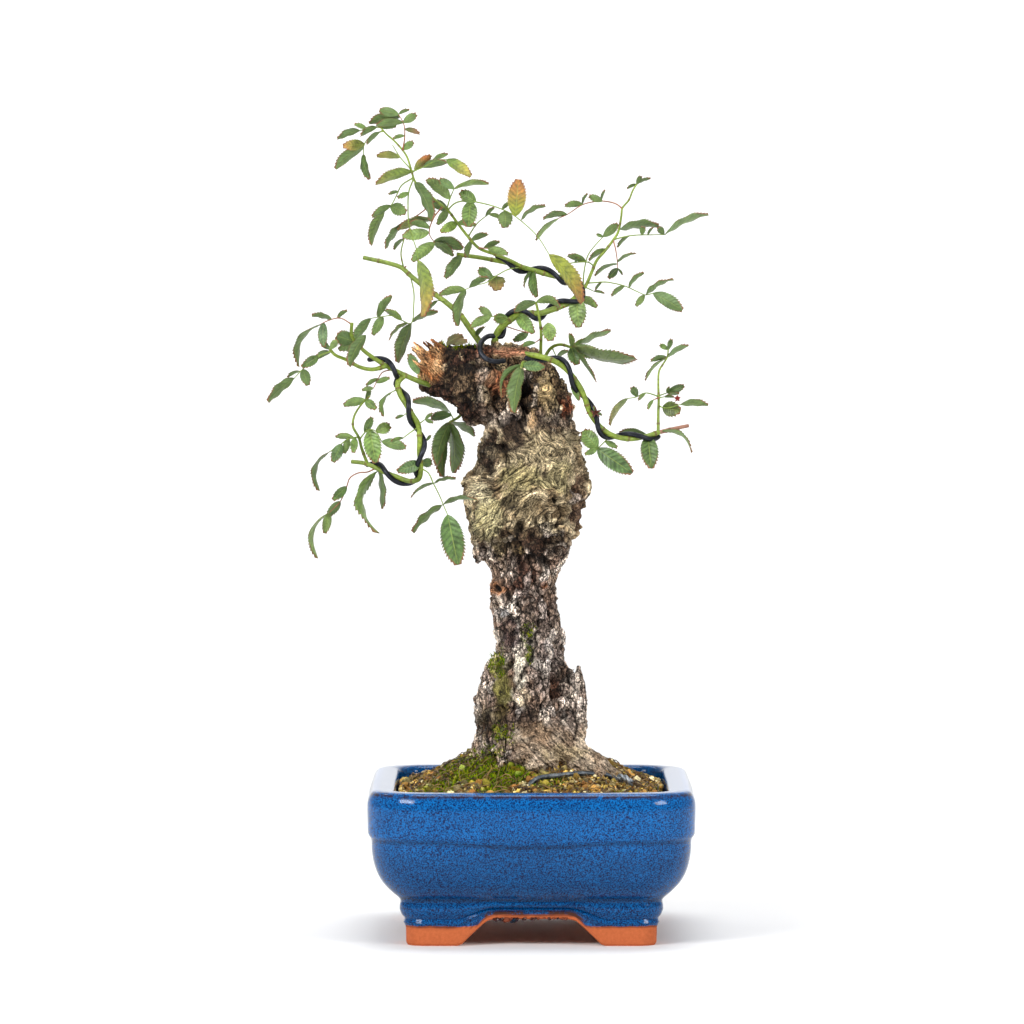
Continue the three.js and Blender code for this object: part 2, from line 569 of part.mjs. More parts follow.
// The wired hairpin branch on top, the tall shoot and the upper right shoot
const BRANCH_TOP = {
  stems: [
    {
      path: [
        [-18, 273, -5], [-16, 282.5, -8], [-12.7, 286.5, -9], [-9, 289.2, -8], [-5, 291.5, -6],
        [4.2, 291.8, -3], [10, 293.5, 0], [14, 295, 2], [18.4, 297, 4], [22, 300.5, 6],
        [22.4, 305.5, 6], [19.4, 307.8, 5], [13.7, 308.7, 2], [8, 310, -1], [0, 312.3, -4],
        [-10, 315.2, -6], [-17, 316.7, -6], [-24, 318, -5], [-35, 319.5, -3],
      ],
      radius: [1.7, 1],
    },
    {
      path: [
        [-2, 312.5, -5], [-10, 316.7, -11], [-17, 319.5, -13], [-24.5, 322.4, -15], [-29, 327, -17],
        [-34.5, 334, -19], [-39, 340, -21], [-45, 345, -24], [-50, 349.5, -26], [-54.5, 353.5, -28],
        [-56.5, 359.5, -30], [-58.5, 365.5, -31], [-60.5, 368.5, -31], [-64.5, 373, -31],
        [-68, 376, -31], [-71.5, 380, -32],
      ],
      radius: [1, 0.6],
    },
    {
      path: [
        [21.5, 300.5, 6], [25.5, 304.5, 10], [28.5, 311, 15], [31, 316.7, 19], [35, 321.4, 22],
        [38.5, 326, 25], [41, 330, 28], [42.5, 337.5, 32], [43, 341.3, 34], [46, 345, 36],
        [48, 349.8, 38], [50, 353, 40],
      ],
      radius: [1, 0.6],
    },
  ],
  leaves: [
    // Crown of the tall shoot
    {
      away: -6,
      stalk: [[-60.5, 368.5], [-59.5, 375], [-60, 381], [-62.5, 385.5]],
      leaflets: [
        [-62.5, 385.5, -71.5, 387.5, 4.6], [-60.3, 381.5, -54, 385.5, 4.2],
        [-60.3, 381.5, -73, 380.5, 3.6, -2], [-59.5, 378.5, -52.5, 376.5, 2.4],
        [-61.8, 384.5, -76, 381.3, 4.4, 7], [-59.8, 375.5, -65, 374, 1.8],
      ],
    },
    { stalk: [[-60.4, 368.8]], leaflets: [[-60.4, 368.8, -55.5, 372.5, 3.6, -3]] },
    {
      away: 7,
      stalk: [[-70, 377.5], [-75, 375.5], [-78.5, 371.5], [-79, 366.5]],
      leaflets: [
        [-78.7, 371.5, -88.5, 370.5, 5.4], [-79.3, 370.5, -92.3, 360.3, 4.9, 5],
        [-79, 366.5, -76.5, 355, 3.6], [-71, 376.5, -77.5, 371.5, 2.2, -4],
      ],
    },
    {
      away: -4,
      stalk: [[-71, 379.5], [-76, 379], [-80.5, 377.8]],
      leaflets: [
        [-80.5, 377.8, -91.5, 374.3, 3.3], [-77.5, 378.5, -83, 380.8, 2.4],
        [-72.5, 379.3, -80.5, 375.7, 2.8, -5],
      ],
    },
    {
      stalk: [[-71.3, 379.8]],
      leaflets: [[-71.3, 379.8, -66.3, 382.5, 3, -4], [-69.5, 377, -63.8, 380, 3.4, 4]],
    },
    {
      away: 10,
      stalk: [[-57, 359.5], [-61.5, 365], [-65.3, 371]],
      leaflets: [[-61.6, 365.4, -72.5, 366, 3.5, 3]],
    },
    {
      away: -10,
      stalk: [[-56.3, 358.5], [-50, 361], [-45, 363.5], [-40, 364.3]],
      leaflets: [
        [-40, 364.3, -28.3, 356.5, 5.4, 3], [-51, 360.5, -39.8, 363.2, 3.8, -6],
        [-55, 359, -47.3, 366.5, 4.2], [-47.5, 362.5, -39.5, 366.6, 2.2, 5],
      ],
    },
    { stalk: [[-57, 358]], leaflets: [[-56.4, 358.5, -73.5, 353, 4.9, -7]] },
    {
      away: -7,
      stalk: [[-39.5, 341], [-38.5, 345], [-36.3, 350.5]],
      leaflets: [
        [-36.3, 350.5, -43.3, 355, 4.2], [-36.3, 350.5, -20.3, 353.3, 2.6],
        [-38.3, 345.5, -49, 355.3, 5.8, -6],
      ],
    },
    { stalk: [[-54.5, 353.5]], leaflets: [[-54.5, 353.5, -45.8, 335.3, 5.6, -9]] },
    {
      away: 4,
      stalk: [
        [-56, 355], [-57.6, 349], [-58, 341.5], [-57.6, 334], [-55.7, 327], [-53.8, 321],
        [-53.3, 317],
      ],
      leaflets: [[-53.3, 317, -50.2, 290, 6.8, -4], [-57.6, 348.7, -62.8, 346.3, 2.8, -2]],
    },
    {
      away: 12,
      stalk: [[-56, 355.5], [-61, 352], [-63.3, 347.5], [-66, 342.5], [-69.3, 339.5]],
      leaflets: [
        [-66, 342.5, -75, 337.3, 3.1], [-66, 342, -59, 339.2, 6.2], [-69.3, 339.5, -76.2, 324, 4.3],
      ],
    },
    {
      stalk: [[-39.5, 340.5]],
      leaflets: [[-39.5, 341, -48.5, 344.3, 4.6, 7], [-38.5, 339.5, -44, 333.8, 4, 5]],
    },
    {
      away: -12,
      stalk: [
        [-39, 340.5], [-35.5, 343.8], [-30, 344.7], [-25, 344], [-17, 342], [-10, 339], [-5, 335.5],
        [3, 328], [8.5, 319.5],
      ],
      leaflets: [
        [-26, 344.2, -33.5, 349, 6, 2], [-28.5, 344.5, -29.7, 332.5, 7.6, -3],
        [-7.5, 337.3, -6, 355, 9, -3], [-5, 335.5, 6.3, 342.8, 2.1],
        [-12.3, 340, -12.3, 332.3, 7.2, 4], [8.5, 319.5, 25, 297, 7.6, -6],
      ],
    },
    {
      away: 8,
      stalk: [[-42, 342], [-46, 336.5], [-48, 329.5], [-45.5, 325]],
      leaflets: [
        [-46.2, 336, -62.8, 331.8, 4, 4], [-47.5, 332, -57, 335, 3.6, -4],
        [-48, 330, -60.6, 328, 5.6, 2], [-45.5, 325, -56, 316.6, 5.6, 5],
        [-45.5, 325, -37, 319.3, 4.3, 8], [-46, 326, -32.4, 322.3, 6, 12],
      ],
    },
    {
      away: 10,
      stalk: [[-45, 345], [-52, 339], [-60, 334]],
      leaflets: [[-60, 334, -69.3, 322.6, 3.1]],
    },
    {
      stalk: [[-35, 334.5]],
      leaflets: [[-35, 334.5, -42.5, 330.3, 4.7, -5], [-31, 330, -26, 333.5, 3, -4]],
    },
    {
      stalk: [[-28, 326]],
      leaflets: [[-28, 326, -20.5, 329.5, 3, -4], [-26.5, 324.5, -30.5, 318.8, 3, 5]],
    },
    {
      away: -5,
      stalk: [[-25, 322.6], [-20.5, 322.3]],
      leaflets: [[-20.5, 322.3, -11, 319.7, 3.8, 2], [-22.5, 322.4, -15, 325.5, 2.6]],
    },
    {
      away: 6,
      stalk: [[-29.5, 327.8], [-25.5, 334], [-20, 338.5]],
      leaflets: [[-21.5, 337.5, -17.5, 341.8, 1.8], [-20, 338.5, -14, 336.4, 2]],
    },
    // Branch itself
    {
      away: -13,
      stalk: [[-4, 313.3], [-10, 312.7], [-15.5, 310], [-21, 306.3], [-26, 305], [-31, 303]],
      leaflets: [
        [-31, 303, -43.3, 300.7, 3.9], [-31, 303, -35.4, 286.3, 4.4],
        [-29, 303.8, -20.5, 309, 3.2, -4], [-16.5, 309.5, -16, 302.8, 8.4, 5],
        [-18, 308.3, -25, 312.8, 5, 5],
      ],
    },
    { stalk: [[-32, 319]], leaflets: [[-33, 319.2, -40.6, 308.4, 5, -4]] },
    { stalk: [[1, 312]], leaflets: [[1, 311, 2.6, 299.5, 4.2, -6]] },
    {
      away: -13,
      stalk: [[-10, 288.5], [-14, 290], [-19, 290.2]],
      leaflets: [
        [-10.5, 289, -17.5, 289.6, 5.2, -5], [-19, 290.2, -28.5, 285.3, 4.3],
        [-18.3, 290.3, -24.3, 294.6, 3.8],
      ],
    },
    { stalk: [[-6, 291]], leaflets: [[-6, 290, 1, 282.6, 6.4, -10]] },
    {
      away: 9,
      stalk: [[-13, 286], [-7, 284], [-1.3, 282.5]],
      leaflets: [[-1.3, 282.5, -8.2, 278.8, 3.9]],
    },
    {
      stalk: [[21.8, 299]],
      leaflets: [[21.7, 297.5, 22.4, 285.2, 8.6, -5], [22, 298.5, 31, 295, 4, 5]],
    },
    // Upper right shoot
    {
      away: -6,
      stalk: [[24, 304], [24.7, 309], [25.6, 315], [27, 319.5], [31, 324.7], [34, 327.8]],
      leaflets: [[34, 327.8, 41, 334, 4.4]],
    },
    { stalk: [[41.3, 331.5]], leaflets: [[41.3, 331.5, 60, 333.6, 4, 5]] },
    {
      away: -8,
      stalk: [[29.5, 314], [27, 315.8], [22, 315.8], [16, 315]],
      leaflets: [[26, 316, 17.3, 319.3, 3.4]],
    },
    { stalk: [[35.5, 322]], leaflets: [[35.5, 322, 27, 316.8, 2.6, -4]] },
    {
      away: 9,
      stalk: [[39.3, 326.3], [45, 328], [50, 328.6], [56, 328.7], [63, 328.8]],
      leaflets: [[63, 329, 83.3, 338.6, 3.2, 4]],
    },
    {
      away: -10,
      stalk: [[39, 326], [39.8, 322], [40.6, 316.5], [40.8, 313]],
      leaflets: [
        [40.7, 316, 49.2, 320.4, 1.5], [40.7, 315, 30, 310, 1.7], [40.8, 313, 36.5, 308.3, 3.6],
      ],
    },
    {
      away: -9,
      stalk: [
        [27.5, 305.5], [30, 306.2], [35, 306.5], [38.5, 306], [44.5, 304.5], [50, 302], [54, 300.4],
        [58, 301.4],
      ],
      leaflets: [
        [44, 304.6, 37.8, 300, 2.3], [46, 304, 52.7, 311, 2.2], [54, 300.6, 67, 308, 2.4],
        [53.5, 300.5, 49.5, 295.3, 3.2], [57.5, 301.4, 71.6, 293.3, 6.6, -4],
      ],
    },
    {
      away: 8,
      stalk: [
        [42.8, 341], [40, 343.3], [34, 344.6], [28, 344], [24, 342.8], [17, 338.3], [12.5, 336.3],
      ],
      leaflets: [
        [33.5, 344.6, 27.3, 347, 3.6], [24.5, 343, 15.8, 342.6, 3.2], [17, 338.4, 5.5, 336.7, 3],
        [12.5, 336.3, 2.3, 326.3, 2.2, 3],
      ],
    },
  ],
};

// The stout shoot with the cut end
const SHOOT_CUT = {
  stems: [
    {
      path: [
        [-21.5, 273, 0], [-23.5, 277, 1], [-28.8, 284.5, 4], [-33.5, 291, 7], [-40.6, 297.3, 10],
        [-50, 304, 14], [-57, 309.7, 17], [-61, 313.2, 19], [-66.6, 315.2, 21], [-79, 318, 25],
      ],
      radius: [1.6, 1],
    },
    {
      path: [[-60, 312.7, 19], [-61.3, 320, 18], [-59.7, 327.5, 16]],
      radius: [0.6, 0.5],
    },
  ],
  leaves: [
    {
      away: -24,
      stalk: [
        [-57, 309.7], [-55.3, 302], [-55.3, 296], [-56.5, 287], [-61, 288.5], [-65.5, 290.6],
        [-70, 290.2], [-75.5, 289.4],
      ],
      leaflets: [
        [-56.3, 288, -44.2, 292.6, 3, 4], [-56.5, 287, -63.4, 268.6, 6, -6],
        [-75.5, 289.4, -84.6, 277.3, 4.4, -5], [-72.5, 290, -66, 300, 3.9, 4],
        [-61, 288.5, -68.6, 293.4, 3.2, -4], [-58.5, 287.5, -67.3, 279.6, 1.6, -6],
        [-70, 290, -74.5, 281.8, 4.6, 5],
      ],
    },
    { stalk: [[-60, 327]], leaflets: [[-60, 327, -64.5, 322, 1.8, 4]] },
    { stalk: [[-26, 280.5]], leaflets: [[-26.3, 281, -22, 285.5, 2.2, -5]] },
  ],
};

// The wired left branch with its fork, and the lower branch that grows from it
const BRANCH_LEFT = {
  stems: [
    {
      path: [
        [-43, 257.5, -3], [-50, 258.7, -9], [-56, 261, -12], [-62, 263.7, -14], [-69, 267.4, -18],
        [-75, 271.2, -22], [-80, 275.2, -25], [-84.5, 281, -28], [-84.5, 287.3, -29],
      ],
      radius: [1.4, 0.8],
    },
    {
      path: [
        [-68, 266.9, -17.5], [-75, 265.3, -22], [-81, 266.5, -25], [-87, 269.8, -27],
        [-92.5, 272.2, -29], [-95, 275, -30],
      ],
      radius: [1.1, 0.7],
    },
    {
      path: [
        [-59.5, 262.7, -13], [-62.8, 259, -15], [-61.8, 253.7, -17], [-59, 249, -19],
        [-56.2, 244.2, -20], [-53.3, 239.3, -20], [-52.6, 233, -20], [-52.7, 226, -20],
        [-52, 219, -19], [-53, 213.6, -18], [-57, 212.6, -16], [-64.2, 215, -13], [-69, 216.7, -11],
        [-73.6, 219, -9], [-78.4, 221, -7], [-84.7, 221.8, -5],
      ],
      radius: [1.4, 1],
    },
    {
      path: [
        [-77, 220.4, -7.5], [-79.8, 227.6, -10], [-81.2, 233, -12], [-84, 238.5, -13],
        [-83.3, 243.5, -14], [-80, 248.8, -16], [-76, 252.7, -18],
      ],
      radius: [0.9, 0.5],
    },
  ],
  leaves: [
    // Fork of the left branch
    {
      away: -7,
      stalk: [[-94, 274], [-100, 271.6], [-105.5, 267.3], [-108.5, 264.6], [-111.5, 261.3]],
      leaflets: [
        [-111.5, 261.3, -124.3, 250.2, 4.4, -4], [-107.5, 265.5, -105.3, 258, 5, 3],
        [-100.5, 271.5, -108, 266.5, 4.6, -6], [-94.5, 273.6, -101.5, 270.5, 3, 5],
      ],
    },
    {
      away: 5,
      stalk: [[-84.5, 286.5], [-90, 289.5], [-96, 288.2], [-99.5, 286.4]],
      leaflets: [
        [-99.5, 286.4, -110.6, 267.3, 2.6, 4, -3], [-98, 287.4, -97.8, 276, 4.7, -4],
        [-91.5, 289.3, -87, 293, 2, 3], [-94, 288.8, -103, 291.2, 2.6, 4],
      ],
    },
    {
      stalk: [[-95, 274.8]],
      leaflets: [[-95, 274.8, -99, 278.3, 3, 4], [-95, 274.8, -91.3, 279.3, 3.4, -4]],
    },
    {
      stalk: [[-82.5, 278.5]],
      leaflets: [[-82, 278.3, -92, 281.3, 7.4, -6], [-80.2, 275.5, -90.5, 274.7, 5, 6]],
    },
    {
      away: -5,
      stalk: [[-80, 275.2], [-78.3, 279], [-78, 281.5]],
      leaflets: [[-78, 281.5, -86.3, 267, 5.4, -5]],
    },
    {
      away: -3,
      stalk: [[-52, 259.5], [-53, 263]],
      leaflets: [[-53, 263, -57.5, 272.7, 5, -2]],
    },
    {
      away: -6,
      stalk: [[-65, 265.3], [-70, 264], [-72.3, 260.5], [-74.3, 256.5]],
      leaflets: [
        [-72, 261, -77.8, 257.8, 2], [-73, 259, -66.8, 261.3, 2.6],
        [-74.3, 256.5, -79.5, 255.6, 2.4, 3],
      ],
    },
    // Lower branch
    {
      away: -6,
      stalk: [[-62.3, 256], [-66, 254.5]],
      leaflets: [[-66, 254.5, -70, 243.5, 2, 3, -1.5]],
    },
    {
      stalk: [[-78, 251]],
      leaflets: [
        [-76.3, 252.5, -73.3, 246.8, 4.3, -4], [-80.3, 248.5, -88.3, 248.5, 4.4, 4],
        [-78, 250.8, -76, 256.5, 2.4, 3],
      ],
    },
    {
      away: -8,
      stalk: [[-81, 232.5], [-77, 236.7], [-73.5, 236.3], [-70.5, 231.3]],
      leaflets: [
        [-76, 236.5, -73.3, 221.5, 8.4, -5], [-73.3, 236.3, -66.3, 238.8, 5.6, 4],
        [-70.5, 231.3, -58.8, 228.6, 5.2, -4], [-78.3, 235.5, -75, 242.8, 3.9, 3],
      ],
    },
    {
      away: 7,
      stalk: [[-81.3, 233.5], [-86, 232.7], [-90, 229.7], [-95, 226.5]],
      leaflets: [
        [-83.5, 233, -92, 233.7, 3, 4], [-89.5, 230, -93.5, 221.8, 5.4, -3],
        [-86, 232.7, -88, 226, 3.4, 4], [-95, 226.5, -100.6, 208.3, 2.2, 3, -3],
        [-83, 233, -83.8, 226.3, 3.8, -4],
      ],
    },
    {
      away: 6,
      stalk: [
        [-73, 218.7], [-77.5, 216.8], [-81, 216.6], [-85.4, 214.2], [-87, 210], [-90, 203],
        [-95.3, 197.7],
      ],
      leaflets: [
        [-87, 210, -93.4, 203.8, 4.4, -3], [-90, 203, -96.2, 196, 4.4, 3],
        [-95.3, 197.7, -97.4, 188, 4.4, -3], [-95.3, 197.7, -101.2, 176.3, 2, 3, -3],
      ],
    },
    {
      stalk: [[-71.5, 218]],
      leaflets: [[-71, 216.5, -73.6, 188, 4, -5, -5], [-70.5, 217, -70, 199.8, 3, 5, -1]],
    },
    {
      stalk: [[-52.4, 221]],
      leaflets: [[-52.5, 221, -62.9, 217.3, 6, -7], [-52.4, 222, -46.7, 221.5, 4.6, 5]],
    },
    {
      away: -7,
      stalk: [
        [-52, 218.8], [-48.5, 216.5], [-46.3, 212], [-43, 205.3], [-41.5, 201.6], [-39.4, 196.7],
      ],
      leaflets: [
        [-46.3, 211.7, -35.9, 214.4, 1.6, 4], [-46.3, 211.7, -56.8, 205.3, 1.5, -4],
        [-41.5, 201.6, -25.5, 204.5, 2.3, -4], [-41.5, 201.6, -55.9, 188.6, 3.5, 4],
        [-39.4, 196.7, -34.5, 173, 11.3, -3],
      ],
    },
  ],
};

// The wired right branch with its upright shoot and dead tip
const BRANCH_RIGHT = {
  stems: [
    {
      path: [
        [-9, 273, -10], [-2, 272.5, -15], [6.6, 270.8, -18], [12.3, 268.5, -19], [17, 265, -20],
        [20.8, 260.3, -20], [23.6, 256, -19], [25.5, 251.3, -18], [27.4, 245.6, -17],
        [29.7, 241.8, -16], [32.6, 238.2, -15], [36.3, 235.3, -14], [40.6, 233.4, -12],
        [46.7, 232.5, -9], [53.8, 233.6, -6], [60.4, 235.7, -3],
      ],
      radius: [1.35, 1.2],
    },
    {
      path: [[58, 235, -4], [66, 237, -1], [74.3, 238.8, 1]],
      radius: [1.1, 0.9],
    },
    {
      path: [
        [60, 235, -3], [60, 244.2, -1], [60.2, 251, 1], [60, 258.4, 4], [60.4, 264.6, 6],
        [62.3, 267.9, 8], [64.2, 271.2, 9], [64.7, 275, 10],
      ],
      radius: [0.9, 0.5],
    },
  ],
  leaves: [
    {
      away: 7,
      stalk: [[38, 234.3], [34, 230.5], [31.3, 227.8]],
      leaflets: [
        [31.3, 227.8, 24.5, 236.5, 8, 4], [31.3, 227.8, 47.5, 216.5, 9, -6],
        [31.3, 227.8, 25.5, 225.3, 3, -3], [35, 231.3, 40.5, 228.6, 3],
      ],
    },
    {
      stalk: [[55, 234]],
      leaflets: [[55, 233.5, 56.7, 218.7, 8.6, -6], [53, 233.4, 42, 236, 3.4, 5]],
    },
    { stalk: [[61, 236]], leaflets: [[61, 236, 76.2, 226.8, 1.8, -4, 2.2]] },
    {
      away: 4,
      stalk: [[20.5, 260.8], [18.8, 257]],
      leaflets: [[18.8, 257, 23, 250.8, 2.8, -4]],
    },
    {
      stalk: [[64, 271]],
      leaflets: [[64, 271, 56.3, 269.6, 2.6, -3], [64.3, 271.6, 74, 276.6, 2.6, 4]],
    },
    {
      away: -8,
      stalk: [[60.2, 252.5], [58, 253.3], [53.8, 254.2], [49.6, 252.3], [45.5, 251.6]],
      leaflets: [[45.5, 251.6, 36.8, 239, 3, -4]],
    },
    {
      away: 6,
      stalk: [[60.2, 253], [64, 254.2]],
      leaflets: [[64, 254.2, 72.3, 257.7, 4, 3]],
    },
    {
      away: -7,
      stalk: [[60, 248], [64, 247], [70.5, 248.8]],
      leaflets: [[62, 247.3, 70.3, 245.8, 7.6, -4], [70.5, 248.8, 83.3, 249, 3.4, 3]],
    },
  ],
};

// Leaves that grow straight from the head of the trunk
const SPRAY_FRONT = {
  stems: [
    {
      path: [[-2.5, 264, -9], [-3, 268.5, -20], [-4, 268.3, -25], [-4.7, 266, -27.5]],
      radius: [0.8, 0.7],
    },
  ],
  leaves: [
    {
      stalk: [[-4.3, 267.5]],
      leaflets: [
        [-4.4, 267.5, 6.5, 266.3, 5.2, -2], [-4.7, 266, -9, 244.8, 7, -4],
        [-4.7, 266.5, -14.3, 252.5, 2.2, -6, -2.4],
      ],
    },
  ],
};
const SPRAY_UPRIGHT = {
  stems: [
    {
      path: [[4.5, 268, -4], [4.6, 276, -12], [4.7, 283, -16], [3.8, 290, -17], [2.3, 297, -17]],
      radius: [0.9, 0.6],
    },
  ],
  leaves: [
    {
      stalk: [[2.4, 297]],
      leaflets: [[2.4, 296.7, -8.2, 292.8, 4.3, -4], [2.3, 297, 14, 295, 3.9, -3, 1.6]],
    },
    {
      away: -4,
      stalk: [[4.6, 284], [8, 287.3]],
      leaflets: [[8, 287.3, 9.2, 278.8, 6.8, -2]],
    },
    {
      away: -4,
      stalk: [[4.6, 280], [2, 278]],
      leaflets: [[2, 278, -4.5, 276.6, 2.4]],
    },
  ],
};
const SPRAY_RIGHT = {
  stems: [
    {
      path: [[4, 266, 2], [9, 275, 2], [13.7, 277, -3], [19.4, 275.6, -8], [23, 275, -10]],
      radius: [0.9, 0.6],
    },
  ],
  leaves: [
    {
      stalk: [[19, 275.7]],
      leaflets: [
        [13.7, 277, 49.8, 272.8, 6.6, -18, -6], [15, 276.7, 37.3, 283.6, 3, 8, -1],
        [19.4, 275.6, 21.7, 267.6, 6.4, -4], [23, 275, 33.8, 271.8, 6.6, 2],
        [21, 275.3, 31.3, 260, 2, -12, -2], [9.5, 275.2, 18.6, 282.4, 2.8, -5],
      ],
    },
    {
      away: 2,
      stalk: [[10, 275.4], [12, 271]],
      leaflets: [[12, 271, 17, 274, 2.2, 5]],
    },
  ],
};
const SPRAY_UNDER_ARM = {
  stems: [
    {
      path: [[-31, 250, 6], [-33.5, 243.5, 8], [-36.3, 241.5, 6], [-38.4, 240.5, 3]],
      radius: [0.8, 0.6],
    },
  ],
  leaves: [
    {
      stalk: [[-38.2, 240.5]],
      leaflets: [
        [-38.3, 240.5, -45, 220.2, 6.6, -5], [-37, 241, -42.8, 215, 6.4, 6],
        [-35, 242.5, -35.8, 217.3, 7, 14], [-33.6, 243.3, -27, 234.6, 3.6, 12],
      ],
    },
    {
      away: 7,
      stalk: [[-36.5, 241.6], [-38.5, 245.7]],
      leaflets: [[-38.5, 245.7, -55.3, 251, 4.6, 8], [-37.5, 244, -47.6, 242.5, 4.6, -6]],
    },
  ],
};

// Wires

// A wire wound round a tapering stem along [x, z, depth] rows, a fixed rise for each turn
function wound(path, radius, rise, firstTurn) {
  const curve = new THREE.CatmullRomCurve3(path.map(seen), false, 'centripetal');
  const turns = curve.getLength() / rise;
  const steps = Math.round(turns * 9);
  const frames = curve.computeFrenetFrames(steps, false);
  const points = [];
  for (let i = 0; i <= steps; i += 1) {
    const angle = 2 * Math.PI * (firstTurn + (turns * i) / steps);
    const reach = THREE.MathUtils.lerp(...radius, i / steps) + GAP + WIRE_RADIUS + CHORD_SAG;
    points.push(curve.getPointAt(i / steps)
      .addScaledVector(frames.normals[i], reach * Math.cos(angle))
      .addScaledVector(frames.binormals[i], reach * Math.sin(angle)));
  }
  return points;
}

function wireTop() {
  const overKnuckle = [
    [-20, 281, -9], [-23.5, 278, -13], [-24, 274, -17],
    [-21.5, 270.5, -19], [-17, 269, -19.3], [-12, 269.5, -19],
  ];
  const path = BRANCH_TOP.stems[0].path.slice(1, -2);
  return [...overKnuckle.reverse().map(seen), ...wound(path, [1.7, 1.1], 24, 0.55)];
}

function wireLeft() {
  const [upper, , lower] = BRANCH_LEFT.stems.map(({ path }) => path);
  const alongUpper = wound(upper.slice(3, 6), [1.3, 1.1], 19, 0.1);
  const alongLower = wound(lower.slice(1, -2), [1.4, 1.1], 24, 0.6);
  return [...alongUpper.reverse(), ...alongLower];
}

function wireRight() {
  return wound(BRANCH_RIGHT.stems[0].path.slice(1), [1.35, 1.2], 27, 0.3);
}

// The wire that ties the roots down: up through one hole, across the soil, and down through the other
const ANCHOR_ROUTE = [
  [0, 36, 14], [0, 38, 22], [2, 41, 30], [16, 43, 38], [38, 26, 48], [44, 0, 54], [47, -22, 62],
  [45, -26.5, 69.5], [40.5, -26, 73], [37, -26, 75.2], [31, -28.5, 76.2], [22.8, -33, 76.9],
  [13.5, -38, 76.4], [2, -42, 74.8], [-2, -45, 70], [-3, -44, 60], [0, -39, 36], [0, -38, 22],
  [0, -36, 14], [0, -20, 11.5], [0, 20, 11.5], [0, 33, 12.2],
];

// Assembly

const COLOURS = {
  glaze: { color: 0x1f4f96, roughness: 0.2, metalness: 0 },
  soil: { color: 0x7d6442, roughness: 1, metalness: 0 },
  bark: { color: 0x6a5745, roughness: 0.95, metalness: 0 },
  leaf: { color: 0x55813f, roughness: 0.55, metalness: 0 },
  blackWire: { color: 0x23262e, roughness: 0.45, metalness: 0.6 },
  greyWire: { color: 0x4c5157, roughness: 0.5, metalness: 0.6 },
  plastic: { color: 0x2b2f2b, roughness: 0.6, metalness: 0 },
};

const plant = new THREE.Group();

function addPiece(name, solid, colour) {
  const mesh = new THREE.Mesh(geometryFrom(mainBody(solid)), new THREE.MeshStandardMaterial(colour));
  mesh.name = name;
  plant.add(mesh);
}

// A wire along its route, grown by a margin on every side
function wire(points, stepLength, margin = 0) {
  return taperedTube(points, [WIRE_RADIUS, WIRE_RADIUS], 5, stepLength, margin);
}

const leafyParts = {
  branch_top: BRANCH_TOP,
  shoot_cut: SHOOT_CUT,
  branch_left: BRANCH_LEFT,
  branch_right: BRANCH_RIGHT,
  spray_front: SPRAY_FRONT,
  spray_upright: SPRAY_UPRIGHT,
  spray_right: SPRAY_RIGHT,
  spray_under_arm: SPRAY_UNDER_ARM,
};
const wireRoutes = {
  wire_top: wireTop(),
  wire_left: wireLeft(),
  wire_right: wireRight(),
};
const wireClearance = Object.values(wireRoutes).map((points) => wire(points, WIRE_STEP, GAP));

let trunk = makeTrunk();
for (const { stems } of Object.values(leafyParts)) trunk = trunk.subtract(stemSolid(stems[0], GAP));
for (const clearance of wireClearance) trunk = trunk.subtract(clearance);

const anchorRoute = ANCHOR_ROUTE.map(([x, y, z]) => new THREE.Vector3(x, y, z));
const rootBase = trunkColumn(TRUNK_LEVELS.slice(0, 8), GAP);
let soil = makeSoil().subtract(rootBase).subtract(wire(anchorRoute, ANCHOR_STEP, GAP));
const screenRoom = SCREEN_SIDE + 3;
for (const y of [-DRAIN_HOLE_Y, DRAIN_HOLE_Y]) {
  const room = new THREE.BoxGeometry(screenRoom, screenRoom, 3.4).translate(0, y, FLOOR_TOP + 1);
  soil = soil.subtract(solidFrom(room));
}

addPiece('pot', makePot(), COLOURS.glaze);
addPiece('drain_screen_front', makeDrainScreen(-DRAIN_HOLE_Y), COLOURS.plastic);
addPiece('drain_screen_back', makeDrainScreen(DRAIN_HOLE_Y), COLOURS.plastic);
addPiece('soil', soil, COLOURS.soil);
addPiece('trunk', trunk, COLOURS.bark);
for (const [name, part] of Object.entries(leafyParts)) {
  let solid = leafyStem(part);
  for (const clearance of wireClearance) solid = solid.subtract(clearance);
  addPiece(name, solid, COLOURS.leaf);
}
for (const [name, points] of Object.entries(wireRoutes)) {
  addPiece(name, wire(points, WIRE_STEP), COLOURS.blackWire);
}
addPiece('anchor_wire', wire(anchorRoute, ANCHOR_STEP), COLOURS.greyWire);

// The origin is at the middle of the whole part's box, on the surface that it stands on
const box = new THREE.Box3().setFromObject(plant);
plant.position.set(-(box.min.x + box.max.x) / 2, -(box.min.y + box.max.y) / 2, -box.min.z);

export default plant;
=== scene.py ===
import math
import random

import bmesh
import bpy
import numpy as np
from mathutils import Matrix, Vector, noise


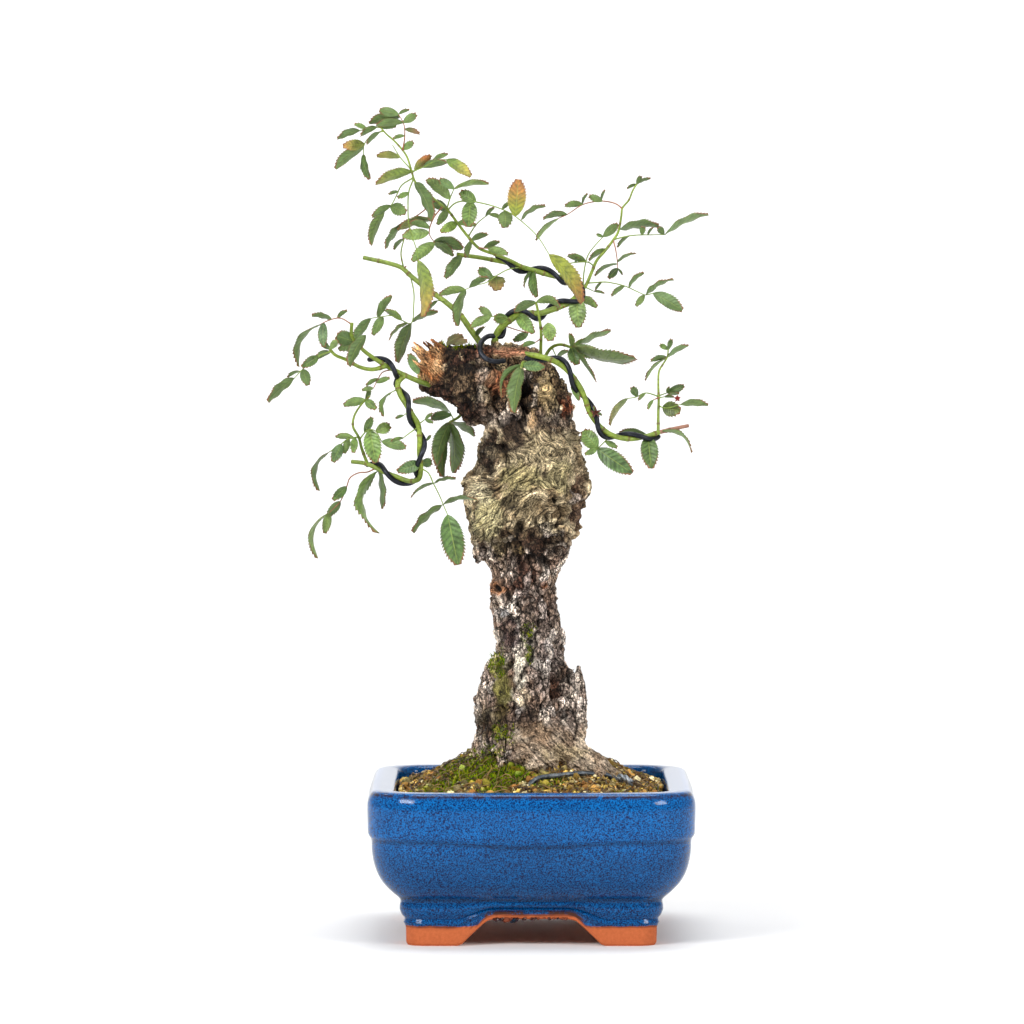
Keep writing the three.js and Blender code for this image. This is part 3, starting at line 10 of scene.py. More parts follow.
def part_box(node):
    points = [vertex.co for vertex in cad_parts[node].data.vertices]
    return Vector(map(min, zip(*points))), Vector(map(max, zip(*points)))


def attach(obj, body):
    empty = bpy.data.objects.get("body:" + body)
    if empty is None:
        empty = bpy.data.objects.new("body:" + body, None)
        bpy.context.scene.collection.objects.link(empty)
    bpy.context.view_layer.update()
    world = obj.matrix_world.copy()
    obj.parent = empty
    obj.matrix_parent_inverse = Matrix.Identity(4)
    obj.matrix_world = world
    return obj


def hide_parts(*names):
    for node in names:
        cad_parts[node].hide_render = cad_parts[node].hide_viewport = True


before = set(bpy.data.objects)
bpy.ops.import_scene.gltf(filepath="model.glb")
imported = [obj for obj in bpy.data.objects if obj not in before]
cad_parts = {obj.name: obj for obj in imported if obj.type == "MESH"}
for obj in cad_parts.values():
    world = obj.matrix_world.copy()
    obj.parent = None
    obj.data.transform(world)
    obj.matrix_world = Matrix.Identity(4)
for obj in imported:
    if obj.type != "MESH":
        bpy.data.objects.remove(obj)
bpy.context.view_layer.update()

MM = 0.001
SEED = 7

# Where the pot's middle stands in the frame, in millimetres
POT_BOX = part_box("pot")
SHIFT = np.array([(POT_BOX[0][0] + POT_BOX[1][0]) / 2 / MM, 0.0, 0.0])

# The eye in front of the plant, for points that were read off its front view
EYE = np.array([-9.0, -3400.0, 340.0])
AIM = np.array([-9.0, 0.0, 198.0])
LENS = 253.5
AWAY = np.array([0.0, 1.0, 0.0])


# Points and curves

def seen(place):
    """A point that shows at x, z in the pot's middle plane, and lies at depth y"""
    x, z, y = place
    reach = (y - EYE[1]) / -EYE[1]
    return np.array([EYE[0] + (x - EYE[0]) * reach, y, EYE[2] + (z - EYE[2]) * reach])


def shown(points):
    """Where points show in the pot's middle plane, as rows of x, z"""
    points = np.atleast_2d(points)
    reach = (points[:, 1] - EYE[1]) / -EYE[1]
    x = EYE[0] + (points[:, 0] - EYE[0]) / reach
    z = EYE[2] + (points[:, 2] - EYE[2]) / reach
    return np.stack([x, z], axis=1)


def unit(vector):
    return vector / max(np.linalg.norm(vector), 1e-9)


class Curve:
    """A smooth line through points, read at a distance along it"""

    SAMPLES = 16

    def __init__(self, points):
        points = [np.asarray(point, float) for point in points]
        ends = [2 * points[0] - points[1], *points, 2 * points[-1] - points[-2]]
        rows = [points[0]]
        for before, start, end, after in zip(ends, ends[1:], ends[2:], ends[3:]):
            spans = [math.sqrt(np.linalg.norm(b - a)) for a, b in
                     ((before, start), (start, end), (end, after))]
            leave = (start - before) / spans[0] - (end - before) / (spans[0] + spans[1])
            leave = (leave + (end - start) / spans[1]) * spans[1]
            arrive = (end - start) / spans[1] - (after - start) / (spans[1] + spans[2])
            arrive = (arrive + (after - end) / spans[2]) * spans[1]
            for step in range(1, self.SAMPLES + 1):
                t = step / self.SAMPLES
                rows.append(
                    start + leave * t
                    + (3 * (end - start) - 2 * leave - arrive) * t ** 2
                    + (2 * (start - end) + leave + arrive) * t ** 3
                )
        self.rows = np.array(rows)
        steps = np.linalg.norm(np.diff(self.rows, axis=0), axis=1)
        self.reaches = np.concatenate([[0], np.cumsum(steps)])
        self.length = self.reaches[-1]

    def at(self, reach):
        columns = [np.interp(reach, self.reaches, self.rows[:, i]) for i in range(3)]
        return np.stack(columns, axis=-1)

    def direction(self, reach):
        ahead = self.at(min(reach + 0.2, self.length))
        return unit(ahead - self.at(max(reach - 0.2, 0)))

    def nearest(self, x, z):
        """How far along the curve the point lies that shows nearest to x, z"""
        places = shown(self.rows)
        distances = np.hypot(places[:, 0] - x, places[:, 1] - z)
        return self.reaches[int(np.argmin(distances))]

    def even(self, step):
        count = max(2, round(self.length / step) + 1)
        return self.at(np.linspace(0, self.length, count))


# Meshes

class Shape:
    """Gathers the vertices, faces and vertex values of one piece"""

    def __init__(self):
        self.points = []
        self.faces = []
        self.colours = []
        self.places = []
        self.count = 0

    def add(self, points, faces, colour=(1, 1, 1), places=None):
        """Colour is one for all vertices or one for each; places are three values a vertex"""
        points = np.asarray(points, float)
        size = len(points)
        colour = np.broadcast_to(np.asarray(colour, float), (size, 3))
        places = np.zeros((size, 3)) if places is None else np.asarray(places, float)
        self.points.append(points)
        self.faces.extend(tuple(corner + self.count for corner in face) for face in faces)
        self.colours.append(colour)
        self.places.append(places)
        self.count += size

    def build(self, name, material, nodes, smooth=True):
        """Makes the object, in metres in the frame, standing for the CAD nodes"""
        points = (np.concatenate(self.points) + SHIFT) * MM
        mesh = bpy.data.meshes.new(name)
        mesh.from_pydata(points.tolist(), [], self.faces)
        colours = np.concatenate(self.colours)
        tint = mesh.color_attributes.new("tint", "FLOAT_COLOR", "POINT")
        rgba = np.concatenate([colours, np.ones((len(colours), 1))], axis=1)
        tint.data.foreach_set("color", rgba.astype(np.float32).ravel())
        place = mesh.attributes.new("place", "FLOAT_VECTOR", "POINT")
        place.data.foreach_set("vector", np.concatenate(self.places).astype(np.float32).ravel())
        mesh.polygons.foreach_set("use_smooth", [smooth] * len(mesh.polygons))
        mesh.materials.append(material)
        mesh.update()
        piece = bpy.data.objects.new(name, mesh)
        bpy.context.collection.objects.link(piece)
        stand_for(piece, nodes)
        return piece


def stand_for(piece, nodes):
    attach(piece, "root")
    if nodes:
        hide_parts(*nodes)


def grid_faces(rows, columns, closed):
    """The quads between rows of vertices; closed joins each row's last column to its first"""
    faces = []
    for row in range(rows - 1):
        for column in range(columns if closed else columns - 1):
            beside = (column + 1) % columns
            faces.append((
                row * columns + column, row * columns + beside,
                (row + 1) * columns + beside, (row + 1) * columns + column,
            ))
    return faces


def tube(points, radii, sides=8):
    """The vertices and faces of a closed round rod along points"""
    points = np.asarray(points, float)
    radii = np.broadcast_to(np.asarray(radii, float), (len(points),))
    tangents = np.gradient(points, axis=0)
    tangents /= np.linalg.norm(tangents, axis=1)[:, None] + 1e-9
    guide = unit(np.cross(tangents[0], [0.31, 0.9, 0.3]))
    angles = np.arange(sides) * 2 * math.pi / sides
    rings = []
    for point, tangent, radius in zip(points, tangents, radii):
        guide = unit(guide - tangent * np.dot(guide, tangent))
        across = np.cross(tangent, guide)
        ring = np.outer(np.cos(angles), guide) + np.outer(np.sin(angles), across)
        rings.append(point + ring * radius)
    vertices = np.concatenate([*rings, points[:1], points[-1:]])
    faces = grid_faces(len(points), sides, closed=True)
    start = len(points) * sides
    last = start - sides
    for side in range(sides):
        beside = (side + 1) % sides
        faces.append((beside, side, start))
        faces.append((last + side, last + beside, start + 1))
    return vertices, faces


def fractal(points, scale, octaves=3, offset=0.0):
    """Smooth noise at each point, about -1 to 1, with lumps about scale long"""
    shift = Vector((offset, offset * 1.7, -offset))
    size = 1 / scale
    return np.array([
        noise.fractal(Vector(point) * size + shift, 1.0, 2.0, octaves) for point in points
    ])


def plates(points, size, offset=0.0):
    """For plates about size across: how far inside its plate each point lies, 0 at the edge, the
    plate's own random number from 0 to 1, and how far above the plate's middle the point is"""
    shift = Vector((offset, -offset, offset * 0.6))
    rows = []
    for point in points:
        place = Vector(point) / size + shift
        distances, middles = noise.voronoi(place)
        rows.append((
            distances[1] - distances[0], noise.cell(middles[0] * 19.7), place.z - middles[0].z,
        ))
    return np.array(rows).T


def blend_in(value, start, end):
    """0 before start, 1 after end, smooth between"""
    part = np.clip((value - start) / (end - start), 0, 1)
    return part * part * (3 - 2 * part)


def rgb(red, green, blue):
    """A linear colour from the 0 to 255 values that a screen shows"""
    return tuple(
        value / 12.92 if value <= 0.04045 else ((value + 0.055) / 1.055) ** 2.4
        for value in (red / 255, green / 255, blue / 255)
    )


def between(first, second, tone):
    """A colour for each vertex, from the first one at tone 0 to the second one at tone 1"""
    tone = np.reshape(tone, (-1, 1))
    return (1 - tone) * rgb(*first) + tone * rgb(*second)


# Materials

class Paint:
    """Short ways to put nodes into one material"""

    def __init__(self, name):
        self.material = bpy.data.materials.new(name)
        self.material.use_nodes = True
        self.tree = self.material.node_tree
        self.skin = self.tree.nodes["Principled BSDF"]
        self.position = self.node("ShaderNodeTexCoord").outputs["Object"]

    def node(self, kind, settings=None, **inputs):
        node = self.tree.nodes.new(kind)
        for key, value in (settings or {}).items():
            setattr(node, key, value)
        for key, value in inputs.items():
            self.put(node.inputs[key.replace("_", " ")], value)
        return node

    def put(self, socket, value):
        """Links a node's output to the socket, or sets the socket's value"""
        if isinstance(value, bpy.types.NodeSocket):
            self.tree.links.new(value, socket)
        elif socket.type == "RGBA":
            socket.default_value = (*value, 1.0)
        else:
            socket.default_value = value

    def surface(self, **inputs):
        for key, value in inputs.items():
            self.put(self.skin.inputs[key.replace("_", " ")], value)

    def attribute(self, name, output="Vector"):
        return self.node("ShaderNodeAttribute", {"attribute_name": name}).outputs[output]

    def stretched(self, across, up):
        """Positions whose lumps are across wide and up high in millimetres"""
        scale = (1000 / across, 1000 / across, 1000 / up)
        return self.node("ShaderNodeMapping", Vector=self.position, Scale=scale).outputs[0]

    def spread(self, size, vector):
        """Where a texture is read: in lumps of a size in millimetres, or of one unit of a vector"""
        if vector is None:
            return {"Vector": self.position, "Scale": 1000 / size}
        return {"Vector": vector, "Scale": 1.0}

    def noise(self, lump=None, detail=4.0, rough=0.6, distortion=0.0, vector=None):
        return self.node(
            "ShaderNodeTexNoise", **self.spread(lump, vector),
            Detail=detail, Roughness=rough, Distortion=distortion,
        ).outputs["Fac"]

    def speckles(self, size=None, feature="F1", output="Distance", vector=None):
        return self.node(
            "ShaderNodeTexVoronoi", {"feature": feature}, **self.spread(size, vector)
        ).outputs[output]

    def vector_math(self, operation, *inputs):
        node = self.node("ShaderNodeVectorMath", {"operation": operation})
        for socket, value in zip(node.inputs, inputs):
            self.put(socket, value)
        return node.outputs

    def warped(self, vector, lump, reach):
        """The vector, moved about by noise with lumps about so many millimetres long"""
        push = self.node("ShaderNodeTexNoise", Vector=self.position, Scale=1000 / lump, Detail=2.0)
        push = push.outputs["Color"]
        return self.vector_math("MULTIPLY_ADD", push, (reach,) * 3, vector)["Vector"]

    def ramp(self, factor, *stops):
        """A colour or grey ramp; each stop is (place, colour or grey)"""
        node = self.node("ShaderNodeValToRGB", Fac=factor)
        elements = node.color_ramp.elements
        while len(elements) < len(stops):
            elements.new(1.0)
        for element, (place, value) in zip(elements, stops):
            element.position = place
            colour = (value, value, value) if isinstance(value, (int, float)) else value
            element.color = (*colour, 1.0)
        return node.outputs["Color"]

    def math(self, operation, first, second=0.0):
        node = self.node("ShaderNodeMath", {"operation": operation})
        self.put(node.inputs[0], first)
        self.put(node.inputs[1], second)
        return node.outputs[0]

    def times(self, first, second):
        return self.math("MULTIPLY", first, second)

    def plus(self, first, second):
        return self.math("ADD", first, second)

    def minus(self, first, second):
        return self.math("SUBTRACT", first, second)

    def mix(self, factor, first, second, way="MIX"):
        node = self.node("ShaderNodeMix", {"data_type": "RGBA", "blend_type": way})
        self.put(node.inputs["Factor"], factor)
        self.put(node.inputs[6], first)
        self.put(node.inputs[7], second)
        return node.outputs[2]

    def tinted(self, first, second):
        """One colour multiplied by another"""
        return self.mix(1.0, first, second, "MULTIPLY")

    def split(self, vector):
        return self.node("ShaderNodeSeparateXYZ", Vector=vector).outputs[:3]

    def bump(self, height, depth, strength=1.0, onto=None):
        """A surface relief whose heights are 0 to 1 times so many millimetres deep"""
        node = self.node("ShaderNodeBump", Height=height, Distance=depth * MM, Strength=strength)
        if onto is not None:
            self.put(node.inputs["Normal"], onto)
        return node.outputs[0]


def blue_glaze(paint, height, line, rim):
    """Flecks, darker glaze lower down, pits, a brown edge to the rim and brown drips on the arches"""
    fleck = paint.noise(0.62, detail=1.2, rough=0.5, distortion=0.6)
    drift = paint.noise(24, detail=3)
    dark = paint.mix(drift, rgb(0, 22, 64), rgb(0, 29, 76))
    light = paint.mix(drift, rgb(2, 90, 158), rgb(10, 110, 184))
    blue = paint.mix(paint.ramp(fleck, (0.38, 0.0), (0.61, 1.0)), dark, light)
    # The vertex colours: painted shade below the ledge and above the foot, and the arch lumps
    blue = paint.tinted(blue, paint.attribute("tint", "Color"))
    blue = paint.tinted(blue, paint.ramp(paint.times(height, 0.02), (0.6, 0.7), (0.84, 1.0)))
    pit = paint.ramp(paint.speckles(7), (0.035, 1.0), (0.055, 0.0))
    blue = paint.mix(paint.times(pit, 0.8), blue, rgb(24, 26, 30))
    edge = paint.times(rim, paint.ramp(paint.noise(4.5), (0.36, 0.3), (0.5, 1.0)))
    blue = paint.mix(edge, blue, rgb(44, 24, 24))
    on_arch = paint.ramp(paint.times(paint.split(paint.position)[2], 50), (0.55, 0.0), (0.63, 1.0))
    drips = paint.times(on_arch, paint.ramp(paint.noise(4.5), (0.44, 0.0), (0.52, 1.0)))
    drips = paint.times(drips, paint.ramp(line, (0.1, 0.0), (0.35, 1.0)))
    return paint.mix(drips, blue, rgb(66, 30, 18))


def fired_clay(paint, line):
    """Orange clay, scorched brown near the glaze's edge"""
    clay = paint.mix(paint.noise(1.4, detail=5), rgb(158, 76, 40), rgb(204, 110, 64))
    scorch = paint.times(paint.plus(line, paint.noise(7)), 0.5)
    return paint.mix(paint.ramp(scorch, (0.45, 0.0), (0.68, 0.9)), clay, rgb(104, 50, 32))


def glaze_paint():
    """Speckled blue glaze that stops above bare clay. A vertex's place is its height above the
    glaze's edge, and how near it is to that edge and to the edge of the rim"""
    paint = Paint("blue_glaze")
    height, line, rim = paint.split(paint.attribute("place"))
    blue = blue_glaze(paint, height, line, rim)
    clay = fired_clay(paint, line)
    waver = paint.times(paint.minus(paint.noise(9), 0.5), 1.6)
    bare = paint.ramp(paint.plus(height, waver), (0.0, 1.0), (0.35, 0.0))
    relief = paint.mix(bare, paint.noise(3.2, detail=2), paint.noise(0.8, detail=4))
    paint.surface(
        Base_Color=paint.mix(bare, blue, clay), Specular_IOR_Level=0.24,
        Roughness=paint.mix(bare, (0.12,) * 3, (0.85,) * 3), Normal=paint.bump(relief, 0.2, 0.4),
    )
    return paint.material


def bark_chips(paint, fibre):
    """How dark the joints between the chips of rugged bark are, and the chips' shades"""
    jagged = paint.warped(paint.warped(paint.stretched(2.4, 4.6), 4, 1.6), 0.9, 0.35)
    joint = paint.speckles(feature="DISTANCE_TO_EDGE", vector=jagged)
    chip = paint.split(paint.speckles(output="Color", vector=jagged))[0]
    shown_joint = paint.ramp(paint.noise(5, detail=2), (0.34, 0.2), (0.48, 1.0))
    joint = paint.times(paint.ramp(joint, (0.0, 1.0), (0.05, 0.9), (0.12, 0.0)), shown_joint)
    chips = paint.mix(joint, paint.ramp(chip, (0.0, 0.82), (1.0, 1.3)), (0.12,) * 3)
    chips = paint.tinted(chips, paint.ramp(fibre, (0.38, 0.35), (0.5, 1.05), (0.62, 2.0)))
    return joint, chips


def grain_lines(paint, flow):
    """Threads along the grain of smooth wood, and the shades of its lines"""
    patch = paint.speckles(output="Color", vector=paint.warped(paint.stretched(12, 12), 8, 0.9))
    turn = paint.vector_math("SUBTRACT", patch, (0.5,) * 3)["Vector"]
    near = paint.warped(paint.stretched(1, 1), 5, 2.4)
    lean = paint.vector_math("DOT_PRODUCT", turn, near)["Value"]
    flow = paint.plus(flow, paint.times(lean, 0.4))
    slow = paint.split(paint.stretched(13, 13))
    drift = paint.plus(slow[1], slow[2])
    wide, narrow = (
        paint.node("ShaderNodeCombineXYZ", X=paint.times(flow, often), Y=slow[0], Z=drift).outputs[0]
        for often in (0.55, 1.35)
    )
    band = paint.noise(detail=2, rough=0.5, vector=wide)
    thread = paint.noise(detail=3, rough=0.65, vector=narrow)
    split = paint.math("ABSOLUTE", paint.minus(band, 0.5))
    lines = paint.tinted(
        paint.ramp(thread, (0.36, 0.3), (0.5, 1.0), (0.64, 1.8)),
        paint.ramp(split, (0.0, 0.06), (0.03, 0.8), (0.06, 1.1)),
    )
    return thread, lines


def bark_paint():
    """Zone colours from the vertices. Rugged bark gets chips with dark joints, and smooth wood gets
    fine lines along its grain. A vertex's place is how much painted shade darkens its cracks, how
    grainy it is, and how far across the grain it lies"""
    paint = Paint("bark")
    crack_shade, grainy, flow = paint.split(paint.attribute("place"))
    fibre = paint.noise(detail=4, rough=0.65, vector=paint.stretched(0.8, 3.4))
    joint, chips = bark_chips(paint, fibre)
    thread, lines = grain_lines(paint, flow)
    fine = paint.noise(0.9, detail=3, rough=0.7)
    value = paint.mix(grainy, chips, lines)
    value = paint.tinted(value, paint.ramp(fine, (0.37, 0.4), (0.63, 1.75)))
    skin = paint.tinted(paint.attribute("tint", "Color"), value)
    # Painted shade in the cracks and hollows, towards near black
    skin = paint.mix(paint.ramp(crack_shade, (0.0, 0.0), (1.0, 0.94)), skin, rgb(20, 15, 12))
    relief = paint.mix(grainy, paint.mix(0.5, paint.minus(1.0, joint), fibre), thread)
    relief = paint.bump(relief, 0.9, 1.0)
    relief = paint.bump(fine, 0.5, 0.9, relief)
    paint.surface(Base_Color=skin, Roughness=0.85, Specular_IOR_Level=0.25, Normal=relief)
    return paint.material


def grain_paint():
    """Clay granules and grit, each with its own colour and a crumbly face"""
    paint = Paint("granules")
    fine = paint.noise(0.6, detail=5, rough=0.7)
    value = paint.ramp(fine, (0.32, 0.4), (0.66, 1.45))
    paint.surface(
        Base_Color=paint.tinted(paint.attribute("tint", "Color"), value), Roughness=0.92,
        Specular_IOR_Level=0.2, Normal=paint.bump(fine, 0.4, 0.8),
    )
    return paint.material


def moss_paint():
    paint = Paint("moss")
    value = paint.ramp(paint.noise(1.2, detail=3), (0.3, 0.6), (0.7, 1.4))
    paint.surface(
        Base_Color=paint.tinted(paint.attribute("tint", "Color"), value), Roughness=0.9,
        Specular_IOR_Level=0.1,
    )
    return paint.material


def withered_edge(paint, out, along):
    """How withered a blade is: towards its edges and its tip, in ragged patches"""
    rim = paint.plus(out, paint.times(paint.math("POWER", along, 4.0), 0.5))
    spot = paint.plus(rim, paint.times(paint.noise(3.5), 0.5))
    burn = paint.ramp(paint.times(spot, 0.5), (0.63, 0.0), (0.69, 1.0))
    edge = paint.times(paint.plus(out, paint.noise(4)), 0.5)
    return paint.math("MAXIMUM", burn, paint.ramp(edge, (0.72, 0.0), (0.81, 0.7)))


def leaf_paint():
    """Green leaflets with a pale rib, quilted side veins with painted shade in their creases, a dull
    underside and withered edges.
    A vertex's place is its part across, its part along, and 1 on the upper side"""
    paint = Paint("leaflet")
    across, along, upper = paint.split(paint.attribute("place"))
    out = paint.math("ABSOLUTE", across)
    wander = paint.times(paint.noise(5, detail=2), 0.07)
    sweep = paint.plus(paint.minus(along, paint.times(out, 0.16)), wander)
    wave = paint.math("FRACT", paint.times(sweep, 8.0))
    ridge = paint.math("ABSOLUTE", paint.minus(wave, 0.5))
    rib = paint.ramp(out, (0.02, 1.0), (0.07, 0.0))
    mottle = paint.ramp(paint.noise(3.4, detail=5, rough=0.7), (0.36, 0.55), (0.64, 1.4))
    skin = paint.tinted(paint.attribute("tint", "Color"), mottle)
    # Painted shade in the creases at the side veins, painted light on the quilted bulges between
    skin = paint.tinted(skin, paint.ramp(ridge, (0.0, 0.68), (0.5, 1.05)))
    skin = paint.mix(upper, paint.mix(0.32, skin, rgb(130, 154, 96)), skin)
    pale = paint.mix(0.6, skin, rgb(180, 196, 100))
    skin = paint.mix(paint.times(rib, 0.6), skin, pale)
    brown = paint.mix(paint.noise(2), rgb(92, 52, 42), rgb(164, 110, 66))
    skin = paint.mix(paint.times(withered_edge(paint, out, along), 0.85), skin, brown)
    side_vein = paint.ramp(ridge, (0.02, 1.0), (0.14, 0.0))
    height = paint.math("MAXIMUM", rib, paint.times(side_vein, 0.8))
    relief = paint.bump(paint.minus(1.0, height), 0.35, 0.7)
    relief = paint.bump(paint.noise(0.8, detail=3), 0.2, 0.5, relief)
    paint.surface(Base_Color=skin, Roughness=0.4, Specular_IOR_Level=0.4, Normal=relief)
    return paint.material


def stem_paint():
    """Green shoots with darker streaks and flecks"""
    paint = Paint("green_stem")
    streaks = paint.noise(2.2, detail=5, rough=0.7)
    value = paint.ramp(streaks, (0.32, 0.5), (0.5, 1.0), (0.68, 1.3))
    skin = paint.tinted(paint.attribute("tint", "Color"), value)
    fleck = paint.ramp(paint.noise(1.3, detail=3), (0.6, 0.0), (0.7, 0.6))
    paint.surface(
        Base_Color=paint.mix(fleck, skin, rgb(104, 74, 40)), Roughness=0.4,
        Specular_IOR_Level=0.35, Normal=paint.bump(streaks, 0.3, 0.6),
    )
    return paint.material


def wire_paint(name, dark, light, metallic):
    """Soft aluminium wire with a dull skin, rubbed brighter in places"""
    paint = Paint(name)
    wear = paint.noise(6, detail=5, rough=0.7)
    paint.surface(
        Base_Color=paint.mix(paint.ramp(wear, (0.5, 0.0), (0.75, 1.0)), dark, light),
        Metallic=metallic, Roughness=paint.ramp(paint.noise(3, detail=3), (0.3, 0.32), (0.7, 0.5)),
        Normal=paint.bump(paint.noise(1.5), 0.08, 0.4),
    )
    return paint.material


def mesh_paint():
    """Black plastic mesh with soil dust"""
    paint = Paint("drain_mesh")
    dust = paint.ramp(paint.noise(4, detail=5), (0.45, 0.0), (0.75, 0.6))
    skin = paint.mix(dust, rgb(30, 34, 30), rgb(110, 92, 70))
    paint.surface(Base_Color=skin, Roughness=0.6, Normal=paint.bump(paint.noise(1), 0.1, 0.4))
    return paint.material


def floor_paint():
    paint = Paint("pale_floor")
    tone = paint.ramp(paint.noise(400, detail=3), (0.3, 0.78), (0.7, 0.8))
    paint.surface(Base_Color=tone, Roughness=0.6, Specular_IOR_Level=0.2)
    return paint.material


# Pot

POT_WIDTH = 152
POT_DEPTH = 184
POT_CORNER = 27
RIM_WIDTH = 12.6
FLOOR_UNDERSIDE = 15.5
FLOOR_TOP = 22
DRAIN_HOLE_RADIUS = 9
DRAIN_HOLE_Y = 38
GLAZE_LINE = 9.1
LEDGE_HEIGHT = 50
BELOW_LEDGE = 48.6
FOOT_BAND_TOP = 21
GROOVE_HEIGHT = 21.4
RIM_EDGE_HEIGHT = 70.3
FOOT_DEPTH = 11

# Height, and how far the outline lies inside the rim's outer edge
POT_OUTSIDE = [
    (0, 18.6), (1.2, 17.9), (8, 17.8), (9.2, 17.4), (10.5, 16.6), (12.4, 17.2), (14, 15.8),
    (16.5, 14.8), (19, 14.9), (20.6, 15.5), (22, 14.4), (25, 10.8), (30, 6.3), (36.5, 3.3),
    (44, 1.9), (47.6, 1.8), (49, 1.5), (50.4, 0.5), (52, 0.1), (56, 0), (66.4, 0), (69.3, 0.95),
    (70.6, 1.7), (71.6, 3), (72, 5.2),
]
POT_INSIDE = [
    (72, 9), (71.6, 11.2), (70.4, 12.6), (68, 13), (60, 13.4), (40, 16.1), (28, 20.6), (22, 30.6),
]
# How far in the hollow between the feet starts, at the arches, and ends, at the floor
HOLLOW_INSETS = (30, 26)

# The arches' height along their slopes, from the middle to the foot, and where the slopes lie
ARCH_TOP = 12.5
ARCH_SLOPE = [ARCH_TOP, 11.5, 4, 0]
FRONT_ARCH = [17, 21, 29, 33]
SIDE_ARCH = [35, 39, 47, 51]

# The glaze's lumps along the front and the back arch
ARCH_LUMPS = 17
ARCH_LUMP_REACH = 16
ARCH_LUMP_Y = 74.8
ARCH_LUMP_COLOUR = (0.2, 0.14, 0.12)

# Heights above the glaze's edge that stand for a side that is all clay or all glazed
ALL_CLAY = -8.0
ALL_GLAZE = 20.0


def perimeter(inset, corner_steps=18, side_steps=40):
    """The points of a rounded rectangle inside the rim's outer edge, and how close each is to the
    middle of its side, from 0 at a corner to 1"""
    radius = max(POT_CORNER - inset, 6)
    centre = (POT_WIDTH / 2 - inset - radius, POT_DEPTH / 2 - inset - radius)
    signs = [(1, 1), (-1, 1), (-1, -1), (1, -1)]
    corners = []
    for corner, (right, back) in enumerate(signs):
        angles = (corner + np.linspace(0, 1, corner_steps)) * math.pi / 2
        x = right * centre[0] + radius * np.cos(angles)
        y = back * centre[1] + radius * np.sin(angles)
        corners.append(np.stack([x, y], axis=1))
    points = []
    middles = []
    for corner, following in zip(corners, corners[1:] + corners[:1]):
        part = np.linspace(0, 1, side_steps + 2)[1:-1]
        side = corner[-1] + (following[0] - corner[-1]) * part[:, None]
        points += [corner, side]
        middles += [np.zeros(corner_steps), 1 - np.abs(2 * part - 1)]
    return np.concatenate(points), np.concatenate(middles)


def arch_height(points):
    """The height of the pot's lower edge: 0 under the feet, raised in the arches between them"""
    front = np.interp(np.abs(points[:, 0]), FRONT_ARCH, ARCH_SLOPE)
    side = np.interp(np.abs(points[:, 1]), SIDE_ARCH, ARCH_SLOPE)
    return np.maximum(front, side)


def pot_ring(height, inset, bottom_part=None):
    """One ring of the pot's skin. With bottom_part, from 0 to 1, it lies that far up from the arches
    and feet to the foot band's top"""
    points, middle = perimeter(inset)
    ledge = np.exp(-((height - LEDGE_HEIGHT) / 4.5) ** 2)
    heights = height - ledge * 2.4 * (blend_in(middle, 0, 0.9) - 0.2)
    bow = 1 + 0.005 * blend_in(middle, 0, 1) * blend_in(height, 25, 45)
    points = points * bow[:, None]
    if bottom_part is not None:
        low = arch_height(points)
        heights = low + (FOOT_BAND_TOP - low) * bottom_part
    return np.column_stack([points, heights])


def place_on_pot(ring, side):
    """How far above the glaze's lower edge, how near that edge, and how near the rim's edge"""
    low = arch_height(ring)
    above = ring[:, 2] - np.maximum(GLAZE_LINE, low + 2.0)
    if side != "outside":
        above = np.full(len(ring), ALL_CLAY if side == "under" else ALL_GLAZE)
    near_line = np.exp(-np.abs(above) / 1.2)
    near_rim = np.zeros(len(ring))
    if side == "outside":
        near_rim = np.exp(-((ring[:, 2] - RIM_EDGE_HEIGHT) / 0.7) ** 2)
    return np.column_stack([above, near_line, near_rim])


def painted_groove_shade(height):
    """Painted shade, darker below the ledge and in the groove above the foot"""
    below_ledge = math.exp(-((height - BELOW_LEDGE) / 1.1) ** 2)
    groove = math.exp(-((height - GROOVE_HEIGHT) / 1.3) ** 2)
    return 1 - 0.45 * below_ledge - 0.4 * groove


def add_rings(shape, rings, side, inward=False, shades=None):
    """Joins rings of points into a skin; shades darken one ring each with painted shade"""
    tint = (1, 1, 1)
    if shades is not None:
        tint = np.repeat(shades, len(rings[0]))[:, None] * np.ones(3)
    faces = grid_faces(len(rings), len(rings[0]), closed=True)
    if inward:
        faces = [face[::-1] for face in faces]
    places = np.concatenate([place_on_pot(ring, side) for ring in rings])
    shape.add(np.concatenate(rings), faces, tint, places)


def drain_circle():
    """The outline of a drainage hole about its own middle"""
    turns = np.linspace(0, 2 * math.pi, 33)[:-1]
    return DRAIN_HOLE_RADIUS * np.column_stack([np.cos(turns), np.sin(turns)])


def add_holed_plate(shape, inset, height, side, facing_down):
    """A flat floor with the two drainage holes"""
    mesh = bmesh.new()
    loops = [perimeter(inset)[0], *(drain_circle() + (0, y) for y in (-DRAIN_HOLE_Y, DRAIN_HOLE_Y))]
    edges = []
    for loop in loops:
        corners = [mesh.verts.new((x, y, height)) for x, y in loop]
        edges += [mesh.edges.new((a, b)) for a, b in zip(corners, corners[1:] + corners[:1])]
    bmesh.ops.triangle_fill(mesh, edges=edges, use_beauty=True)
    mesh.verts.index_update()
    points = np.array([corner.co[:] for corner in mesh.verts])
    wanted = -1 if facing_down else 1
    faces = []
    for face in mesh.faces:
        corners = tuple(corner.index for corner in face.verts)
        face.normal_update()
        faces.append(corners if face.normal.z * wanted > 0 else corners[::-1])
    mesh.free()
    shape.add(points, faces, places=place_on_pot(points, side))


